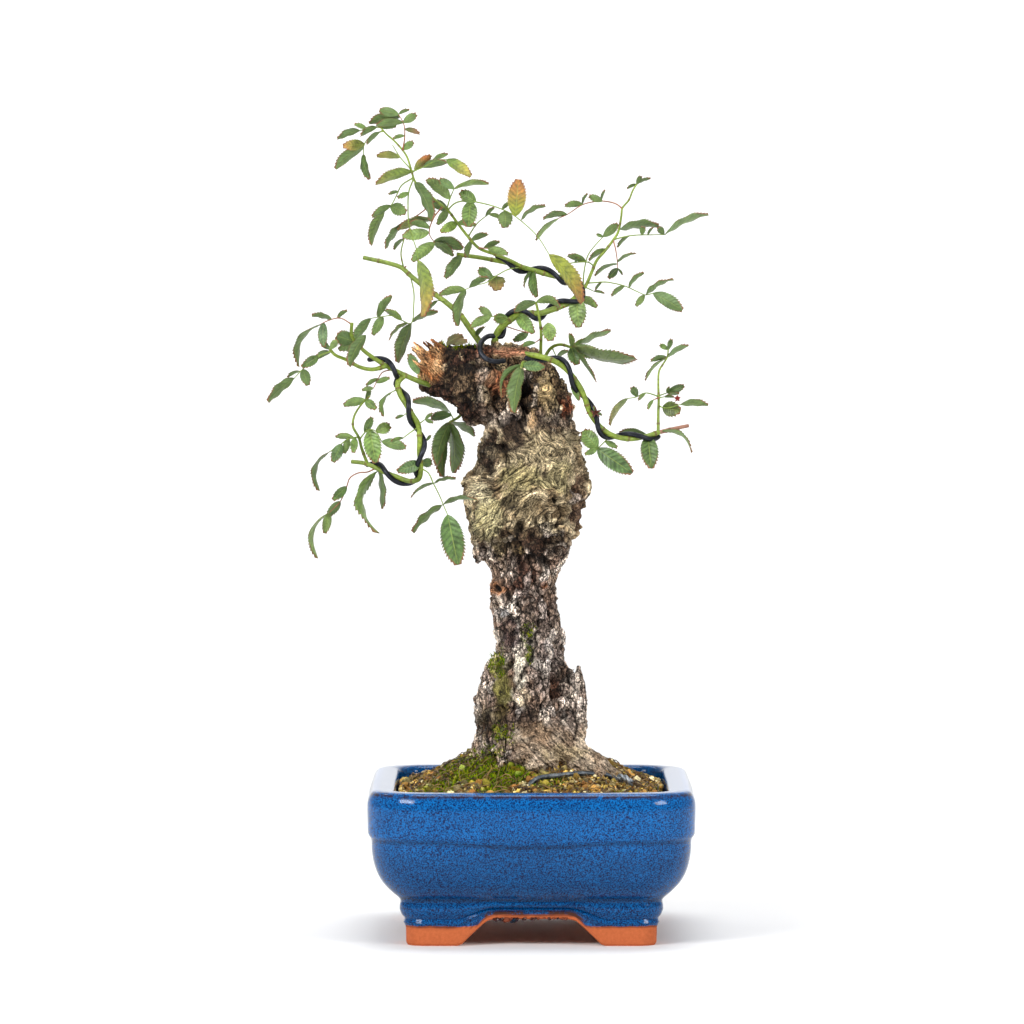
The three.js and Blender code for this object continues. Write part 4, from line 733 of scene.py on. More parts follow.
def arch_lumps(shape, chance):
    """Dark lumps where the glaze ran over the edge of the front and the back arch"""
    forms = stone_forms(4, 2, chance)
    for side in (-1, 1):
        for x in np.linspace(-ARCH_LUMP_REACH, ARCH_LUMP_REACH, ARCH_LUMPS):
            points, faces = chance.choice(forms)
            size = chance.uniform(0.9, 1.7) * (1.2 if x < -4 else 0.8)
            middle = (x + chance.uniform(-1, 1), side * ARCH_LUMP_Y, ARCH_TOP + 1.2 - 0.8 * size)
            points = turned(points, chance) * (size, 0.8 * size, 0.7 * size) + middle
            above = [chance.choice((-1.5, 1.5, 1.5)), 1, 0]
            shape.add(points, faces, ARCH_LUMP_COLOUR, np.tile(above, (len(points), 1)))


def pot_outside():
    """The rings of the outside from the feet to the rim, and the painted shade at each"""
    heights, insets = zip(*POT_OUTSIDE)
    rings = []
    shades = []
    for part in np.linspace(0.05, 1, 24):
        height = part * FOOT_BAND_TOP
        rings.append(pot_ring(height, np.interp(height, heights, insets), part))
        shades.append(painted_groove_shade(height))
    upper = [pair for pair in zip(heights, insets) if pair[0] > FOOT_BAND_TOP]
    start = np.interp(FOOT_BAND_TOP, heights, insets)
    profile = Curve([(height, inset, 0) for height, inset in [(FOOT_BAND_TOP, start), *upper]])
    for height, inset, _ in profile.even(0.7)[1:]:
        rings.append(pot_ring(height, inset))
        shades.append(painted_groove_shade(height))
    return rings, shades


def pot_underside(lowest):
    """The rings of the underside, from the lowest outside ring in across the feet, then up and in to
    the floor"""
    rings = [lowest]
    foot_inset = POT_OUTSIDE[0][1]
    for part in np.linspace(0, 1, 7):
        rings.append(pot_ring(0, foot_inset + FOOT_DEPTH * part, 0))
    start, end = HOLLOW_INSETS
    for part in np.linspace(0.1, 1, 8):
        ring = pot_ring(0, start + (end - start) * part, 0)
        ring[:, 2] += (FLOOR_UNDERSIDE - ring[:, 2]) * part
        rings.append(ring)
    return rings


def pot():
    shape = Shape()
    rings, shades = pot_outside()
    inside = Curve([(height, inset, 0) for height, inset in [POT_OUTSIDE[-1], *POT_INSIDE]])
    add_rings(shape, rings, "outside", shades=shades)
    add_rings(shape, [pot_ring(h, i) for h, i, _ in inside.even(1.6)], "inside")
    add_rings(shape, pot_underside(rings[0]), "under", inward=True)
    add_holed_plate(shape, HOLLOW_INSETS[1], FLOOR_UNDERSIDE, "under", facing_down=True)
    add_holed_plate(shape, POT_INSIDE[-1][1], FLOOR_TOP, "inside", facing_down=False)
    for y in (-DRAIN_HOLE_Y, DRAIN_HOLE_Y):
        circle = drain_circle() + (0, y)
        levels = np.linspace(FLOOR_UNDERSIDE, FLOOR_TOP, 5)
        rings = [np.column_stack([circle, np.full(len(circle), height)]) for height in levels]
        add_rings(shape, rings, "under", inward=True)
    arch_lumps(shape, random.Random(SEED))
    piece = shape.build("pot_body", glaze_paint(), ["pot"])
    piece.data.set_sharp_from_angle(angle=math.radians(38))


# Trunk

TRUNK_VOXEL = 0.62
TRUNK_TRIANGLES = 186_000

# Height, left and right edge seen from the front, front and back edge
TRUNK_LEVELS = np.array([
    (46, -20, 18, -18, 18), (58, -31, 29, -27, 26), (72, -33, 32, -32, 28), (80, -30, 30, -32, 27),
    (88, -28, 26, -30, 25), (95, -26, 24, -28, 23), (103, -27, 26, -25, 22),
    (110, -27.5, 25.5, -22, 21), (117, -24.5, 24, -20, 20), (125, -21.5, 18.5, -18.5, 18),
    (131, -17.5, 17, -17, 17), (138, -16.5, 16, -16.5, 16), (146, -18.5, 14.5, -16, 16),
    (155, -19.2, 12.5, -16, 16), (168, -19.6, 12.4, -16.5, 16), (173.5, -20.5, 15, -17, 17),
    (176, -25.5, 17, -21, 20), (181, -27, 19.5, -24, 22), (190, -29, 21.7, -26, 24),
    (196, -30, 24, -27, 25), (207, -31.6, 28, -26, 25), (213, -31, 28, -25, 24),
    (218, -27, 26, -24, 23), (224, -25.5, 24, -23, 22), (229, -26.7, 23.5, -21, 21),
    (234, -22.5, 22, -20, 20), (240, -22, 20, -19, 19), (254, -22, 18.5, -18, 18),
    (260, -22, 15.5, -17.5, 17), (266, -22, 11.5, -16, 16), (271, -21, 8, -13.5, 13),
    (275, -18, 2, -9, 9), (277, -14, -3, -5, 5),
], float)

# How far right, bottom and top, and half the depth of the broken arm, from its tip to its root
ARM_SECTIONS = np.array([
    (-53, 256.5, 268, 4), (-51, 254.5, 272, 8.5), (-47, 252.5, 275, 12), (-42, 251, 276.5, 14.5),
    (-37, 248, 277, 16), (-32, 241, 277.5, 17), (-26, 238, 277.5, 17.5), (-18, 240, 277, 17),
    (-8, 244, 275, 15),
], float)

# Torn splinters at the arm's end: how many, and where the fan of their tips starts and ends
SPLINTER_COUNT = 17
SPLINTER_LAST_TIPS = [(-58, 271, -9), (-55.5, 278.5, -6), (-44, 280, -4)]

# Ridges and roots that stand out from the column: points, start and end radius
ROOTS = [
    ([(3, 104, -15), (13, 93, -21), (25, 83, -23), (37, 75, -21), (47, 69, -17)], 8.5, 2),
    ([(-4, 108, -14), (-9, 98, -20), (-11, 88, -24), (-12, 72, -26)], 7.5, 5),
    ([(8, 96, -16), (20, 82, -25), (33, 72, -26)], 8, 4),
    ([(2, 100, -13), (5, 88, -21), (7, 72, -27)], 11, 8),
    ([(-14, 100, 8), (-19, 88, 12), (-24, 74, 14)], 9, 5),
    ([(8, 100, 12), (17, 88, 20), (24, 74, 28)], 9, 4),
    ([(-22, 274, -8), (-14, 272.5, -12), (-5, 272, -12), (2, 270, -9)], 4.6, 4),
    ([(12, 130, -10), (17, 124.5, -12), (19.5, 121, -13)], 2.4, 0.6),
    ([(0, 105, -19), (-7, 116, -18), (-7.5, 127, -15.5), (-5, 136, -13.5)], 2.6, 1.2),
    ([(3, 104, -20), (6, 118, -18.5), (7, 130, -16), (9, 143, -13)], 4, 2),
    ([(-22, 190, -20), (-25, 182, -17), (-26, 176, -14), (-24.5, 173, -12)], 5, 1),
    ([(-17, 190, -22), (-19, 182, -19), (-18.5, 177, -17)], 4, 1),
    ([(-25, 215, -12), (-30, 213, -9), (-32.5, 210.5, -7)], 3, 0.7),
    ([(12, 190, -22), (16, 184, -19), (17, 180, -16)], 5, 2),
]

# The standing slab of bark on the right of the base: its outline across and up, then its front
# and back depth at the bottom and at the tip
SLAB = [
    (12, 90), (12.5, 99), (15, 105.5), (18, 111), (20, 115.5), (20.6, 120.5), (21.3, 126),
    (23.4, 125.4), (25.2, 119), (26.6, 110), (26.2, 100), (25, 88),
]
SLAB_BOTTOM = (-22, -13)
SLAB_TIP = (-12.5, -9)

# Places on the front and on the back: across, up, half width, half height, how deep, how much
# painted shade darkens them, and their colour. Later ones lie over earlier ones.
FRONT_SPOTS = [
    (1, 176, 9, 3.2, 3.5, 0.9, (48, 34, 26)), (-3, 252, 2.4, 10, 4.5, 1.0, (30, 22, 18)),
    (8, 127, 9, 15, -0.2, 0.0, (206, 194, 184)), (-4, 101, 6, 8, 0.2, 0.15, (112, 104, 98)),
    (-14, 116, 5, 18, 0.8, 0.1, (108, 104, 46)), (13, 115, 4, 8, 3.8, 0.2, (134, 82, 52)),
    (-16, 162, 4.2, 3.4, -0.5, 0.0, (186, 120, 70)), (-16, 162, 1.5, 1.4, 1.2, 0.95, (44, 32, 26)),
    (-13, 150, 3.2, 2.2, -0.3, 0.0, (224, 222, 220)), (6, 164, 1.5, 2.2, 0, 0.0, (208, 122, 58)),
    (17.5, 248.5, 3, 5, 0.2, 0.0, (164, 78, 40)), (-20, 195, 8, 10, -0.6, 0.0, (198, 186, 140)),
    (6, 226, 11, 12, -1.0, 0.0, (172, 156, 122)), (12, 214, 8, 8, -0.4, 0.0, (160, 148, 108)),
    (-6, 212, 9, 9, -0.4, 0.0, (152, 140, 98)), (-4, 200, 9, 8, 0.4, 0.1, (142, 126, 96)),
    (6, 184, 14, 8, 0.8, 0.3, (84, 66, 50)), (9, 190, 4.5, 2.4, -0.6, 0.0, (214, 196, 160)),
    (-8, 236, 6, 8, 1.0, 0.55, (88, 70, 56)), (-21, 226, 6, 9, 0.6, 0.2, (96, 84, 68)),
    (23, 202, 4.5, 15, 0.2, 0.1, (124, 100, 78)), (-25, 207, 5, 5, -0.4, 0.0, (190, 178, 146)),
    (-6, 178, 4, 3, 0, 0.0, (164, 146, 92)), (-14, 181, 4, 5, 0.3, 0.2, (148, 132, 96)),
    (3, 95, 9, 6, -0.3, 0.0, (148, 124, 98)), (15, 84, 10, 4, -0.5, 0.0, (186, 166, 130)),
    (-20, 98, 7, 9, 0.4, 0.3, (98, 84, 54)),
    (21, 107, 4.5, 13, -0.6, 0.0, (184, 168, 154)), (-23, 274, 6, 3, 0, 0.1, (140, 84, 60)),
    (-8, 273, 9, 3, 0, 0.0, (150, 94, 70)), (8, 256, 6, 9, -0.4, 0.0, (178, 152, 108)),
    (-15, 259, 6, 7, 1.2, 0.1, (158, 92, 58)), (-34, 258, 7, 7, 0.4, 0.2, (134, 110, 84)),
    (0, 241, 2.6, 5, -1.0, 0.0, (196, 160, 116)), (7, 150, 6, 8, 0.2, 0.1, (134, 106, 94)),
    (2, 138, 16, 13, -0.1, 0.0, (204, 190, 176)), (-5, 121, 3.4, 12, -1.6, 0.0, (255, 244, 222)),
    (-3, 111, 3, 6, -1.0, 0.0, (244, 222, 186)),
    (-10, 140, 5, 6, 0.2, 0.15, (110, 92, 92)), (9, 131, 5, 7, -0.2, 0.0, (166, 156, 150)),
    (-4, 165, 7, 7, 0.2, 0.15, (128, 88, 72)), (-22, 262, 5, 4, 0.3, 0.1, (140, 108, 82)),
]
BACK_SPOTS = [
    (2, 232, 10, 12, -0.8, 0.0, (176, 162, 120)), (-12, 206, 9, 10, -0.4, 0.0, (150, 140, 96)),
    (12, 200, 8, 6, 1.0, 0.45, (88, 70, 54)), (-4, 176, 9, 3, 3, 0.8, (50, 36, 28)),
    (6, 158, 4, 8, 0, 0.0, (140, 100, 78)), (-10, 130, 5, 14, 0.2, 0.1, (112, 110, 62)),
    (8, 112, 7, 8, 0.6, 0.3, (98, 82, 70)), (-2, 254, 3, 8, 3, 0.8, (44, 32, 26)),
    (-30, 262, 8, 7, 0.4, 0.2, (126, 100, 78)), (-8, 98, 9, 7, -0.3, 0.0, (150, 130, 104)),
    (10, 222, 6, 6, 1.2, 0.5, (84, 66, 52)), (10, 140, 4, 6, -0.2, 0.0, (172, 164, 158)),
]

# Rough bark within the smooth burl, smooth wood within the rough bark, and moss: their middle across
# and up, half width and half height
ROUGH_SPOTS = [
    (5, 184, 16, 8), (-21, 226, 6, 9), (23, 200, 4.5, 15), (12, 240, 9, 5), (-14, 190, 3, 4),
]
SMOOTH_SPOTS = [
    (-8, 272.5, 13, 3.5), (-16, 259, 6, 7), (0, 241, 3, 6), (-16, 162, 5, 4), (7, 256, 4, 5),
    (-5, 119, 3, 12), (-14, 118, 4, 13),
]
MOSS_SPOTS = [
    (-34, 277.5, 9, 1.6), (-1, 141, 3.4, 7.5), (-16, 126, 4, 7), (-14, 93, 6, 5), (-1, 131, 2, 5),
    (-20, 84, 6, 4),
]

# Cracks on the front with painted shade: their points across and up, half width and depth
CRACKS = [
    ([(-2, 176), (2, 165), (7, 157), (10, 148)], 0.5, 2.2),
    ([(4.5, 147), (3.4, 138), (1, 130), (-4.4, 120), (-8, 113)], 0.8, 2.8),
    ([(6, 130), (5, 120), (7, 110), (5, 103)], 0.6, 2.0),
    ([(10, 128), (11.5, 120), (10, 112)], 0.5, 1.6),
    ([(-10, 138), (-9, 128), (-13, 121)], 0.5, 1.6),
    ([(-13, 172), (-14, 166), (-11, 158), (-14, 152)], 0.5, 1.5),
    ([(-16.7, 254), (-16.2, 249), (-17, 243), (-14.5, 239)], 0.8, 2.6),
    ([(-5, 190), (-6.5, 184), (-8, 176)], 0.7, 2.4),
    ([(-17, 190), (-18.5, 184), (-18, 177)], 0.7, 2.4),
    ([(-22, 189), (-22.5, 182), (-22, 176)], 0.6, 2.0),
    ([(-11, 188), (-12, 182), (-11.5, 176)], 0.6, 2.0),
    ([(2, 194), (7, 190), (15, 192), (20, 197)], 0.8, 2.2),
    ([(11, 204), (14, 197), (13, 190), (16, 184)], 0.7, 2.2),
    ([(-10, 243), (-6, 240), (-2.5, 236.5), (-1, 232)], 0.7, 2.2),
    ([(-17, 229), (-12, 225), (-11, 219), (-15, 215), (-24, 214)], 0.7, 2.2),
    ([(-24, 232), (-19, 230), (-16, 236)], 0.6, 1.8),
    ([(-1, 264), (-3, 256), (-1.5, 248), (-3, 240)], 1.1, 3.0),
    ([(-20, 270), (-18, 262), (-18.5, 255)], 0.6, 2.0),
    ([(10, 262), (13, 254), (11, 246)], 0.5, 1.6),
    ([(-30, 262), (-27, 254), (-29, 247)], 0.5, 1.6),
    ([(-14, 104), (-12, 96), (-13, 86)], 0.8, 2.6),
    ([(-1, 101), (6, 96), (14, 92), (21, 84)], 0.3, 1.0),
    ([(2, 94), (9, 88), (17, 80)], 0.3, 1.0),
    ([(-4, 92), (1, 85), (9, 78)], 0.3, 1.0),
    ([(20, 104), (22, 97), (21, 90)], 0.5, 1.6),
]

# Grain of the smooth wood, in groups that share the place that it is counted from. Each zone: middle
# across and up, reach, and its direction in degrees, or None where it runs in rings
GRAIN = [
    ((0, 205), [
        (10, 226, 11, None), (-8, 207, 11, 40), (-17, 193, 11, 38), (-3, 217, 8, 45),
        (14, 209, 8, -25), (22, 212, 6, 75), (20, 192, 8, 80), (3, 196, 8, 62), (-5, 187, 7, 65),
        (13, 240, 8, -32), (-6, 236, 8, 100), (-22, 226, 7, 60), (-26, 209, 6, 15),
    ]),
    ((8, 92), [
        (2, 88, 12, -38), (22, 86, 12, -42), (-9, 98, 7, 70), (23, 109, 6, 70), (12, 98, 8, -55),
    ]),
    ((-49, 269), [(-49, 269, 12, -47)]),
    ((-8, 266), [
        (-8, 272.5, 8, 5), (-17, 259, 6, 62), (-11, 259, 5, 112), (7, 256, 5, None),
        (-16, 162, 5, None), (-5, 119, 4, 82), (-14, 118, 5, 88),
    ]),
]


def gnarl(angle, height):
    """The knobbly surface of the trunk, as a factor on its depth"""
    return (
        1 + 0.07 * np.sin(3 * angle + height * 0.13)
        + 0.06 * np.sin(5 * angle - height * 0.31)
        + 0.05 * np.sin(9 * angle + height * 0.9)
    )


def add_loft(shape, rings):
    """Closed rings of points as one solid with its two ends closed"""
    sides = len(rings[0])
    points = np.concatenate([*rings, [rings[0].mean(axis=0)], [rings[-1].mean(axis=0)]])
    faces = grid_faces(len(rings), sides, closed=True)
    first = len(rings) * sides
    last = first - sides
    for side in range(sides):
        beside = (side + 1) % sides
        faces.append((beside, side, first))
        faces.append((last + side, last + beside, first + 1))
    shape.add(points, faces)


def add_column(shape):
    angles = np.linspace(0, 2 * math.pi, 97)[:-1]
    rings = []
    for height in np.arange(TRUNK_LEVELS[0, 0], TRUNK_LEVELS[-1, 0] + 0.2, 1.1):
        left, right, front, back = (
            np.interp(height, TRUNK_LEVELS[:, 0], TRUNK_LEVELS[:, i]) for i in range(1, 5)
        )
        twist = 0.06 * np.sin(angles) * np.sin(7 * angles + height * 0.6)
        x = (left + right) / 2 + (np.cos(angles) + twist) * (right - left) / 2
        deep = -np.sin(angles)
        y = deep * gnarl(angles, height) * np.where(deep > 0, back, -front)
        rings.append(np.array([seen((a, height, b)) for a, b in zip(x, y)]))
    add_loft(shape, [ring[::-1] for ring in rings])


def add_arm(shape):
    angles = np.linspace(0, 2 * math.pi, 61)[:-1]
    rings = []
    for x in np.arange(ARM_SECTIONS[0, 0], ARM_SECTIONS[-1, 0] + 0.1, 1.0):
        low, high, half_depth = (
            np.interp(x, ARM_SECTIONS[:, 0], ARM_SECTIONS[:, i]) for i in range(1, 4)
        )
        knobs = 1 + 0.06 * np.sin(4 * angles + x * 0.4)
        heights = (low + high) / 2 + np.sin(angles) * (high - low) / 2
        depths = -np.cos(angles) * half_depth * knobs
        rings.append(np.array([seen((x, z, y)) for z, y in zip(heights, depths)]))
    add_loft(shape, rings)


def add_rod(shape, path, radii, sides=10, step=2.0):
    curve = Curve([seen(place) for place in path])
    points = curve.even(step)
    shape.add(*tube(points, np.linspace(*radii, len(points)), sides))


def add_slab(shape):
    """The standing slab, which leans back towards its tip"""
    bottom, tip = SLAB[0][1], SLAB[6][1]
    leans = [(z - bottom) / (tip - bottom) for _, z in SLAB]
    rings = []
    for low, high in zip(SLAB_BOTTOM, SLAB_TIP):
        depths = [low + (high - low) * lean for lean in leans]
        rings.append(np.array([seen((x, z, y)) for (x, z), y in zip(SLAB, depths)]))
    add_loft(shape, rings[::-1])


def add_splinters(shape, chance):
    """A fan of torn splinters at the arm's end"""
    fan = Curve(SPLINTER_LAST_TIPS)
    for reach in np.linspace(0, fan.length, SPLINTER_COUNT):
        stray = [chance.uniform(-1, 3), chance.uniform(-2.4, 1), chance.uniform(-6, 6)]
        x, z, y = fan.at(reach) + stray
        root = (x + 14, z - 13, y * 0.7)
        middle = (x + 6.5, z - 6, y * 0.95)
        half_width = chance.uniform(1.1, 2.0)
        add_rod(shape, [root, middle, (x, z, y)], (half_width * 1.4, half_width * 0.3), sides=6)


def rough_trunk():
    """All the trunk's masses as overlapping closed solids"""
    shape = Shape()
    add_column(shape)
    add_arm(shape)
    for path, start, end in ROOTS:
        add_rod(shape, path, (start, end))
    add_slab(shape)
    add_splinters(shape, random.Random(SEED))
    return shape


def grain_flow(places):
    """How far across the grain each place lies, in millimetres"""
    x, z = places.T
    total = np.full(len(x), 1e-6)
    flow = np.zeros(len(x))
    for (start_x, start_z), zones in GRAIN:
        for middle_x, middle_z, reach, direction in zones:
            over, up = x - middle_x, z - middle_z
            weight = np.exp(-(over ** 2 + up ** 2) / reach ** 2)
            across = np.hypot(over, up)
            if direction is not None:
                turn = math.radians(direction)
                across = (z - start_z) * math.cos(turn) - (x - start_x) * math.sin(turn)
            total += weight
            flow += weight * across
    return flow / total


def fused(shape, voxel):
    """One skin round overlapping solids: its vertices, their normals and its faces"""
    mesh = bpy.data.meshes.new("masses")
    mesh.from_pydata(np.concatenate(shape.points).tolist(), [], shape.faces)
    masses = bpy.data.objects.new("masses", mesh)
    bpy.context.collection.objects.link(masses)
    remesh = masses.modifiers.new("skin", "REMESH")
    remesh.mode = "VOXEL"
    remesh.voxel_size = voxel
    view = bpy.context.evaluated_depsgraph_get()
    skin = bpy.data.meshes.new_from_object(masses.evaluated_get(view))
    points = np.empty(len(skin.vertices) * 3)
    skin.vertices.foreach_get("co", points)
    normals = np.empty(len(skin.vertices) * 3)
    skin.vertices.foreach_get("normal", normals)
    faces = [tuple(face.vertices) for face in skin.polygons]
    bpy.data.objects.remove(masses)
    bpy.data.meshes.remove(skin)
    bpy.data.meshes.remove(mesh)
    return points.reshape(-1, 3), normals.reshape(-1, 3), faces


def thin_out(piece, triangles):
    """Joins the vertices that its form needs least, down to a number of triangles"""
    thinner = piece.modifiers.new("thinner", "DECIMATE")
    thinner.ratio = triangles / sum(len(face.vertices) - 2 for face in piece.data.polygons)
    view = bpy.context.evaluated_depsgraph_get()
    thinned = bpy.data.meshes.new_from_object(piece.evaluated_get(view))
    piece.modifiers.clear()
    full = piece.data
    piece.data = thinned
    bpy.data.meshes.remove(full)


def crack_weight(places, line, half_width):
    """1 along a line of points, 0 from half_width away"""
    nearest = np.full(len(places), 1e9)
    for start, end in zip(line, line[1:]):
        start, way = np.array(start, float), np.subtract(end, start)
        part = np.clip((places - start) @ way / (way @ way), 0, 1)
        nearest = np.minimum(nearest, np.linalg.norm(places - start - part[:, None] * way, axis=1))
    return 1 - blend_in(nearest, 0, half_width * 1.6)


class Bark:
    """Works out for each vertex of the trunk's skin how deep it is carved, how much painted shade
    its cracks get, how grainy and mossy it is, and its colour, with painted light on its ridges and
    painted shade in its hollows"""

    def __init__(self, points, normals):
        self.points = points
        self.places = shown(points)
        self.front = blend_in(-normals[:, 1], -0.25, 0.25)
        self.find_zones()
        self.find_noise()
        self.find_grain()
        self.carve()
        self.colour_zones()
        self.add_spots()
        self.add_cracks()
        self.add_flakes()
        self.add_moss()
        # Painted light on the ridges and painted shade in the hollows of the carved relief
        ridge = np.clip(0.5 - self.relief * 0.5, 0, 1)
        self.tint = self.tint * (0.56 + 0.92 * ridge)[:, None]

    def near(self, spot):
        """1 at a spot's middle, 0 beyond its ragged edge"""
        x, z, half_width, half_height = spot[:4]
        reach = np.hypot((self.places[:, 0] - x) / half_width, (self.places[:, 1] - z) / half_height)
        return 1 - blend_in(reach + self.knobs * 0.7, 0.6, 1.3)

    def find_zones(self):
        """How much each vertex belongs to the arm, the head, the burl and so on, from 0 to 1"""
        x, z = self.places.T
        self.arm = blend_in(-x, 20, 27) * blend_in(z, 234, 242)
        self.head = blend_in(z, 240, 250) * (1 - self.arm)
        self.burl = blend_in(z, 178, 186) * (1 - blend_in(z, 234, 246)) * (1 - self.arm)
        self.torn = blend_in(-x, 40, 43) * blend_in(z, 257, 262)
        self.roots = blend_in(-z, -104, -92) * blend_in(x, -12, -4)
        slab = blend_in(x, 18, 21) * blend_in(z, 103, 110) * blend_in(-z, -130, -128)
        self.thin = np.maximum(slab, self.torn)

    def find_noise(self):
        """Lumps of several sizes. For the plates of rugged bark: how far inside its plate a vertex
        lies, the plate's own number from 0 to 1, and how far above the plate's middle it is. For
        the smaller chips, their own number"""
        self.lumps = fractal(self.points, 13, 3, 3.0)
        self.knobs = fractal(self.points, 5, 3, 11.0)
        self.fine = fractal(self.points, 2.0, 3, 19.0)
        self.wander = fractal(self.points, 7, 2, 31.0)
        warped = self.points + np.column_stack([self.wander, self.knobs, self.lumps]) * 2.2
        self.inside, self.plate, self.above = plates(warped * (1, 1, 0.6), 5.0, 5.0)
        self.chip = plates(warped * (1, 1, 0.62), 2.4, 9.0)[1]
        self.threads = fractal(warped * (1, 1, 0.2), 1.3, 2, 43.0)

    def find_grain(self):
        """Where the wood is smooth, how far across the grain a vertex lies, and the grain's ridges"""
        flow = grain_flow(self.places) + 1.3 * self.lumps + 0.8 * self.wander + 0.3 * self.knobs
        slow = self.points * 0.09
        rows = np.column_stack([flow * 0.34, slow[:, 0] + slow[:, 1], slow[:, 2]])
        self.flow = flow
        self.ridges = fractal(rows, 1, 2, 57.0)
        self.groove = blend_in(-np.abs(self.ridges), -0.07, -0.01)
        self.grainy = np.clip(self.burl + self.torn + 0.75 * self.roots, 0, 1)
        for spot in ROUGH_SPOTS:
            self.grainy = self.grainy * (1 - 0.9 * self.near(spot))
        for spot in SMOOTH_SPOTS:
            self.grainy = np.maximum(self.grainy, self.near(spot) * self.front)
        self.rugged = 1 - self.grainy

    def carve(self):
        """How deep the surface lies below the rough masses, and how much painted shade darkens its
        cracks
        """
        gap = np.exp(-((self.inside / 0.1) ** 2))
        relief = self.rugged * (
            1.2 * gap - 0.8 * (self.plate - 0.5) - 0.3 * (self.chip - 0.5) - 0.6 * self.above
            - 0.5 * self.threads - 0.3 * self.fine
        )
        relief += self.grainy * (0.7 * self.groove - 0.9 * self.ridges - 0.3 * self.fine)
        relief -= (self.arm + self.head) * 0.6 * self.knobs + self.burl * 0.9 * self.knobs
        self.relief = relief
        depth = (relief - 1.0 * self.lumps - 0.6 * self.knobs) * (1 - 0.7 * self.thin)
        self.depth = depth - self.torn * 0.5 * self.ridges
        # Painted shade in the gaps between plates and in the grooves of the grain
        crack_shade = self.rugged * (gap * 1.1 - 0.15) + self.grainy * self.groove * 0.8
        self.crack_shade = np.clip(crack_shade, 0, 1)

    def paint_over(self, colour, weight):
        """Moves the colours towards another one, by a weight from 0 to 1"""
        self.tint = self.tint + (np.asarray(colour) - self.tint) * weight[:, None]

    def colour_zones(self):
        """Each zone's colour, between a dark and a light one"""
        tone = blend_in(self.wander + 0.2 * (self.plate - 0.5), -0.5, 0.5)
        self.tint = np.zeros((len(tone), 3))
        for weight, dark, light in (
            (np.ones(len(tone)), (184, 158, 136), (238, 222, 206)),
            (blend_in(-self.places[:, 1], -128, -112) * self.grainy, (132, 112, 88), (186, 164, 134)),
            (self.burl, (116, 98, 72), (196, 178, 144)),
            (self.head, (130, 110, 82), (196, 172, 132)),
            (self.arm, (26, 18, 12), (68, 50, 34)),
            (self.torn, (140, 88, 50), (214, 168, 118)),
        ):
            self.paint_over(between(dark, light, tone), weight)

    def add_spots(self):
        for spots, towards in ((FRONT_SPOTS, self.front), (BACK_SPOTS, 1 - self.front)):
            for spot in spots:
                deep, dark, colour = spot[4:]
                weight = self.near(spot) * towards
                self.depth += weight * deep
                # A spot's dark value is painted shade in its hollow
                self.crack_shade = self.crack_shade * (1 - 0.4 * weight) + weight * dark
                self.paint_over(rgb(*colour), 0.85 * weight)

    def add_cracks(self):
        places = self.places + np.column_stack([self.knobs, self.wander]) * 1.6
        for line, half_width, deep in CRACKS:
            weight = crack_weight(places, line, half_width * (1 + 0.5 * self.knobs)) * self.front
            self.depth += weight * deep
            # Painted shade along the cracks
            self.crack_shade = np.maximum(self.crack_shade, weight)

    def add_flakes(self):
        """Pale and rusty plates, and pale specks on the arm and the head"""
        flake = blend_in(self.plate, 0.72, 0.78) * self.rugged * (1 - self.arm)
        self.paint_over(rgb(186, 174, 166), 0.5 * flake)
        rust = blend_in(-self.plate, -0.2, -0.14) * self.rugged
        self.paint_over(rgb(112, 74, 58), 0.45 * rust)
        speck = blend_in(self.chip, 0.86, 0.9) * (self.arm + self.head + 0.4 * self.rugged)
        self.paint_over(rgb(206, 184, 146), 0.4 * np.clip(speck, 0, 1))

    def add_moss(self):
        ragged = blend_in(self.fine + 0.5 * self.knobs, -0.35, 0.15)
        green = between((84, 92, 30), (166, 164, 60), blend_in(self.chip, 0.3, 0.8))
        self.mossy = np.zeros(len(green))
        for spot in MOSS_SPOTS:
            weight = self.near(spot) * self.front * ragged
            self.paint_over(green, 0.85 * weight)
            # Less painted crack shade under the moss
            self.crack_shade = self.crack_shade * (1 - 0.3 * weight)
            self.mossy = np.maximum(self.mossy, weight)


def trunk_moss(points, normals, mossy):
    chance = random.Random(SEED)
    tufts = Shape()
    for index in np.flatnonzero(mossy > 0.3):
        if chance.random() < 0.4:
            out = normals[index] + [0, 0, 0.8]
            add_moss_shoot(tufts, points[index], out, chance.uniform(0.5, 1.3), chance)
    tufts.build("trunk_moss", moss_paint(), [], smooth=False)


def trunk():
    points, normals, faces = fused(rough_trunk(), TRUNK_VOXEL)
    bark = Bark(points, normals)
    carved = points - normals * bark.depth[:, None]
    places = np.column_stack([np.clip(bark.crack_shade, 0, 1), bark.grainy, bark.flow])
    shape = Shape()
    shape.add(carved, faces, bark.tint, places)
    thin_out(shape.build("trunk_wood", bark_paint(), ["trunk"]), TRUNK_TRIANGLES)
    trunk_moss(carved, normals, bark.mossy)


# Soil

SOIL_EDGE_HEIGHT = 65.5
SOIL_MOUND_RISE = 28
SOIL_SPREAD_ACROSS = 44
SOIL_SPREAD_DEEP = 38
WALL_GAP = 1.2

# Half the width and half the depth of the trunk where it meets the soil
TRUNK_FOOT = (23, 21)

GRANULE_COLOURS = [
    (206, 168, 83), (222, 196, 125), (176, 134, 70), (126, 90, 45), (88, 64, 35),
    (150, 104, 54), (238, 222, 170), (134, 120, 83), (112, 90, 41), (190, 162, 78),
]
LITTER_COLOURS = [(74, 56, 36), (108, 84, 52), (142, 112, 66), (58, 44, 32), (120, 106, 52)]
MOSS_COLOURS = [(96, 134, 0), (140, 170, 8), (72, 102, 4), (176, 178, 36), (112, 110, 14)]

# How much of its red, green and blue a granule loses in thick moss
MOSS_SHADE = (0.72, 0.58, 0.9)

GRANULE_COUNT = 2500
GRIT_COUNT = 7000
LITTER_COUNT = 1500
MOSS_TRIES = 27_000
MOSS_SHOOT_RADIUS = 0.32

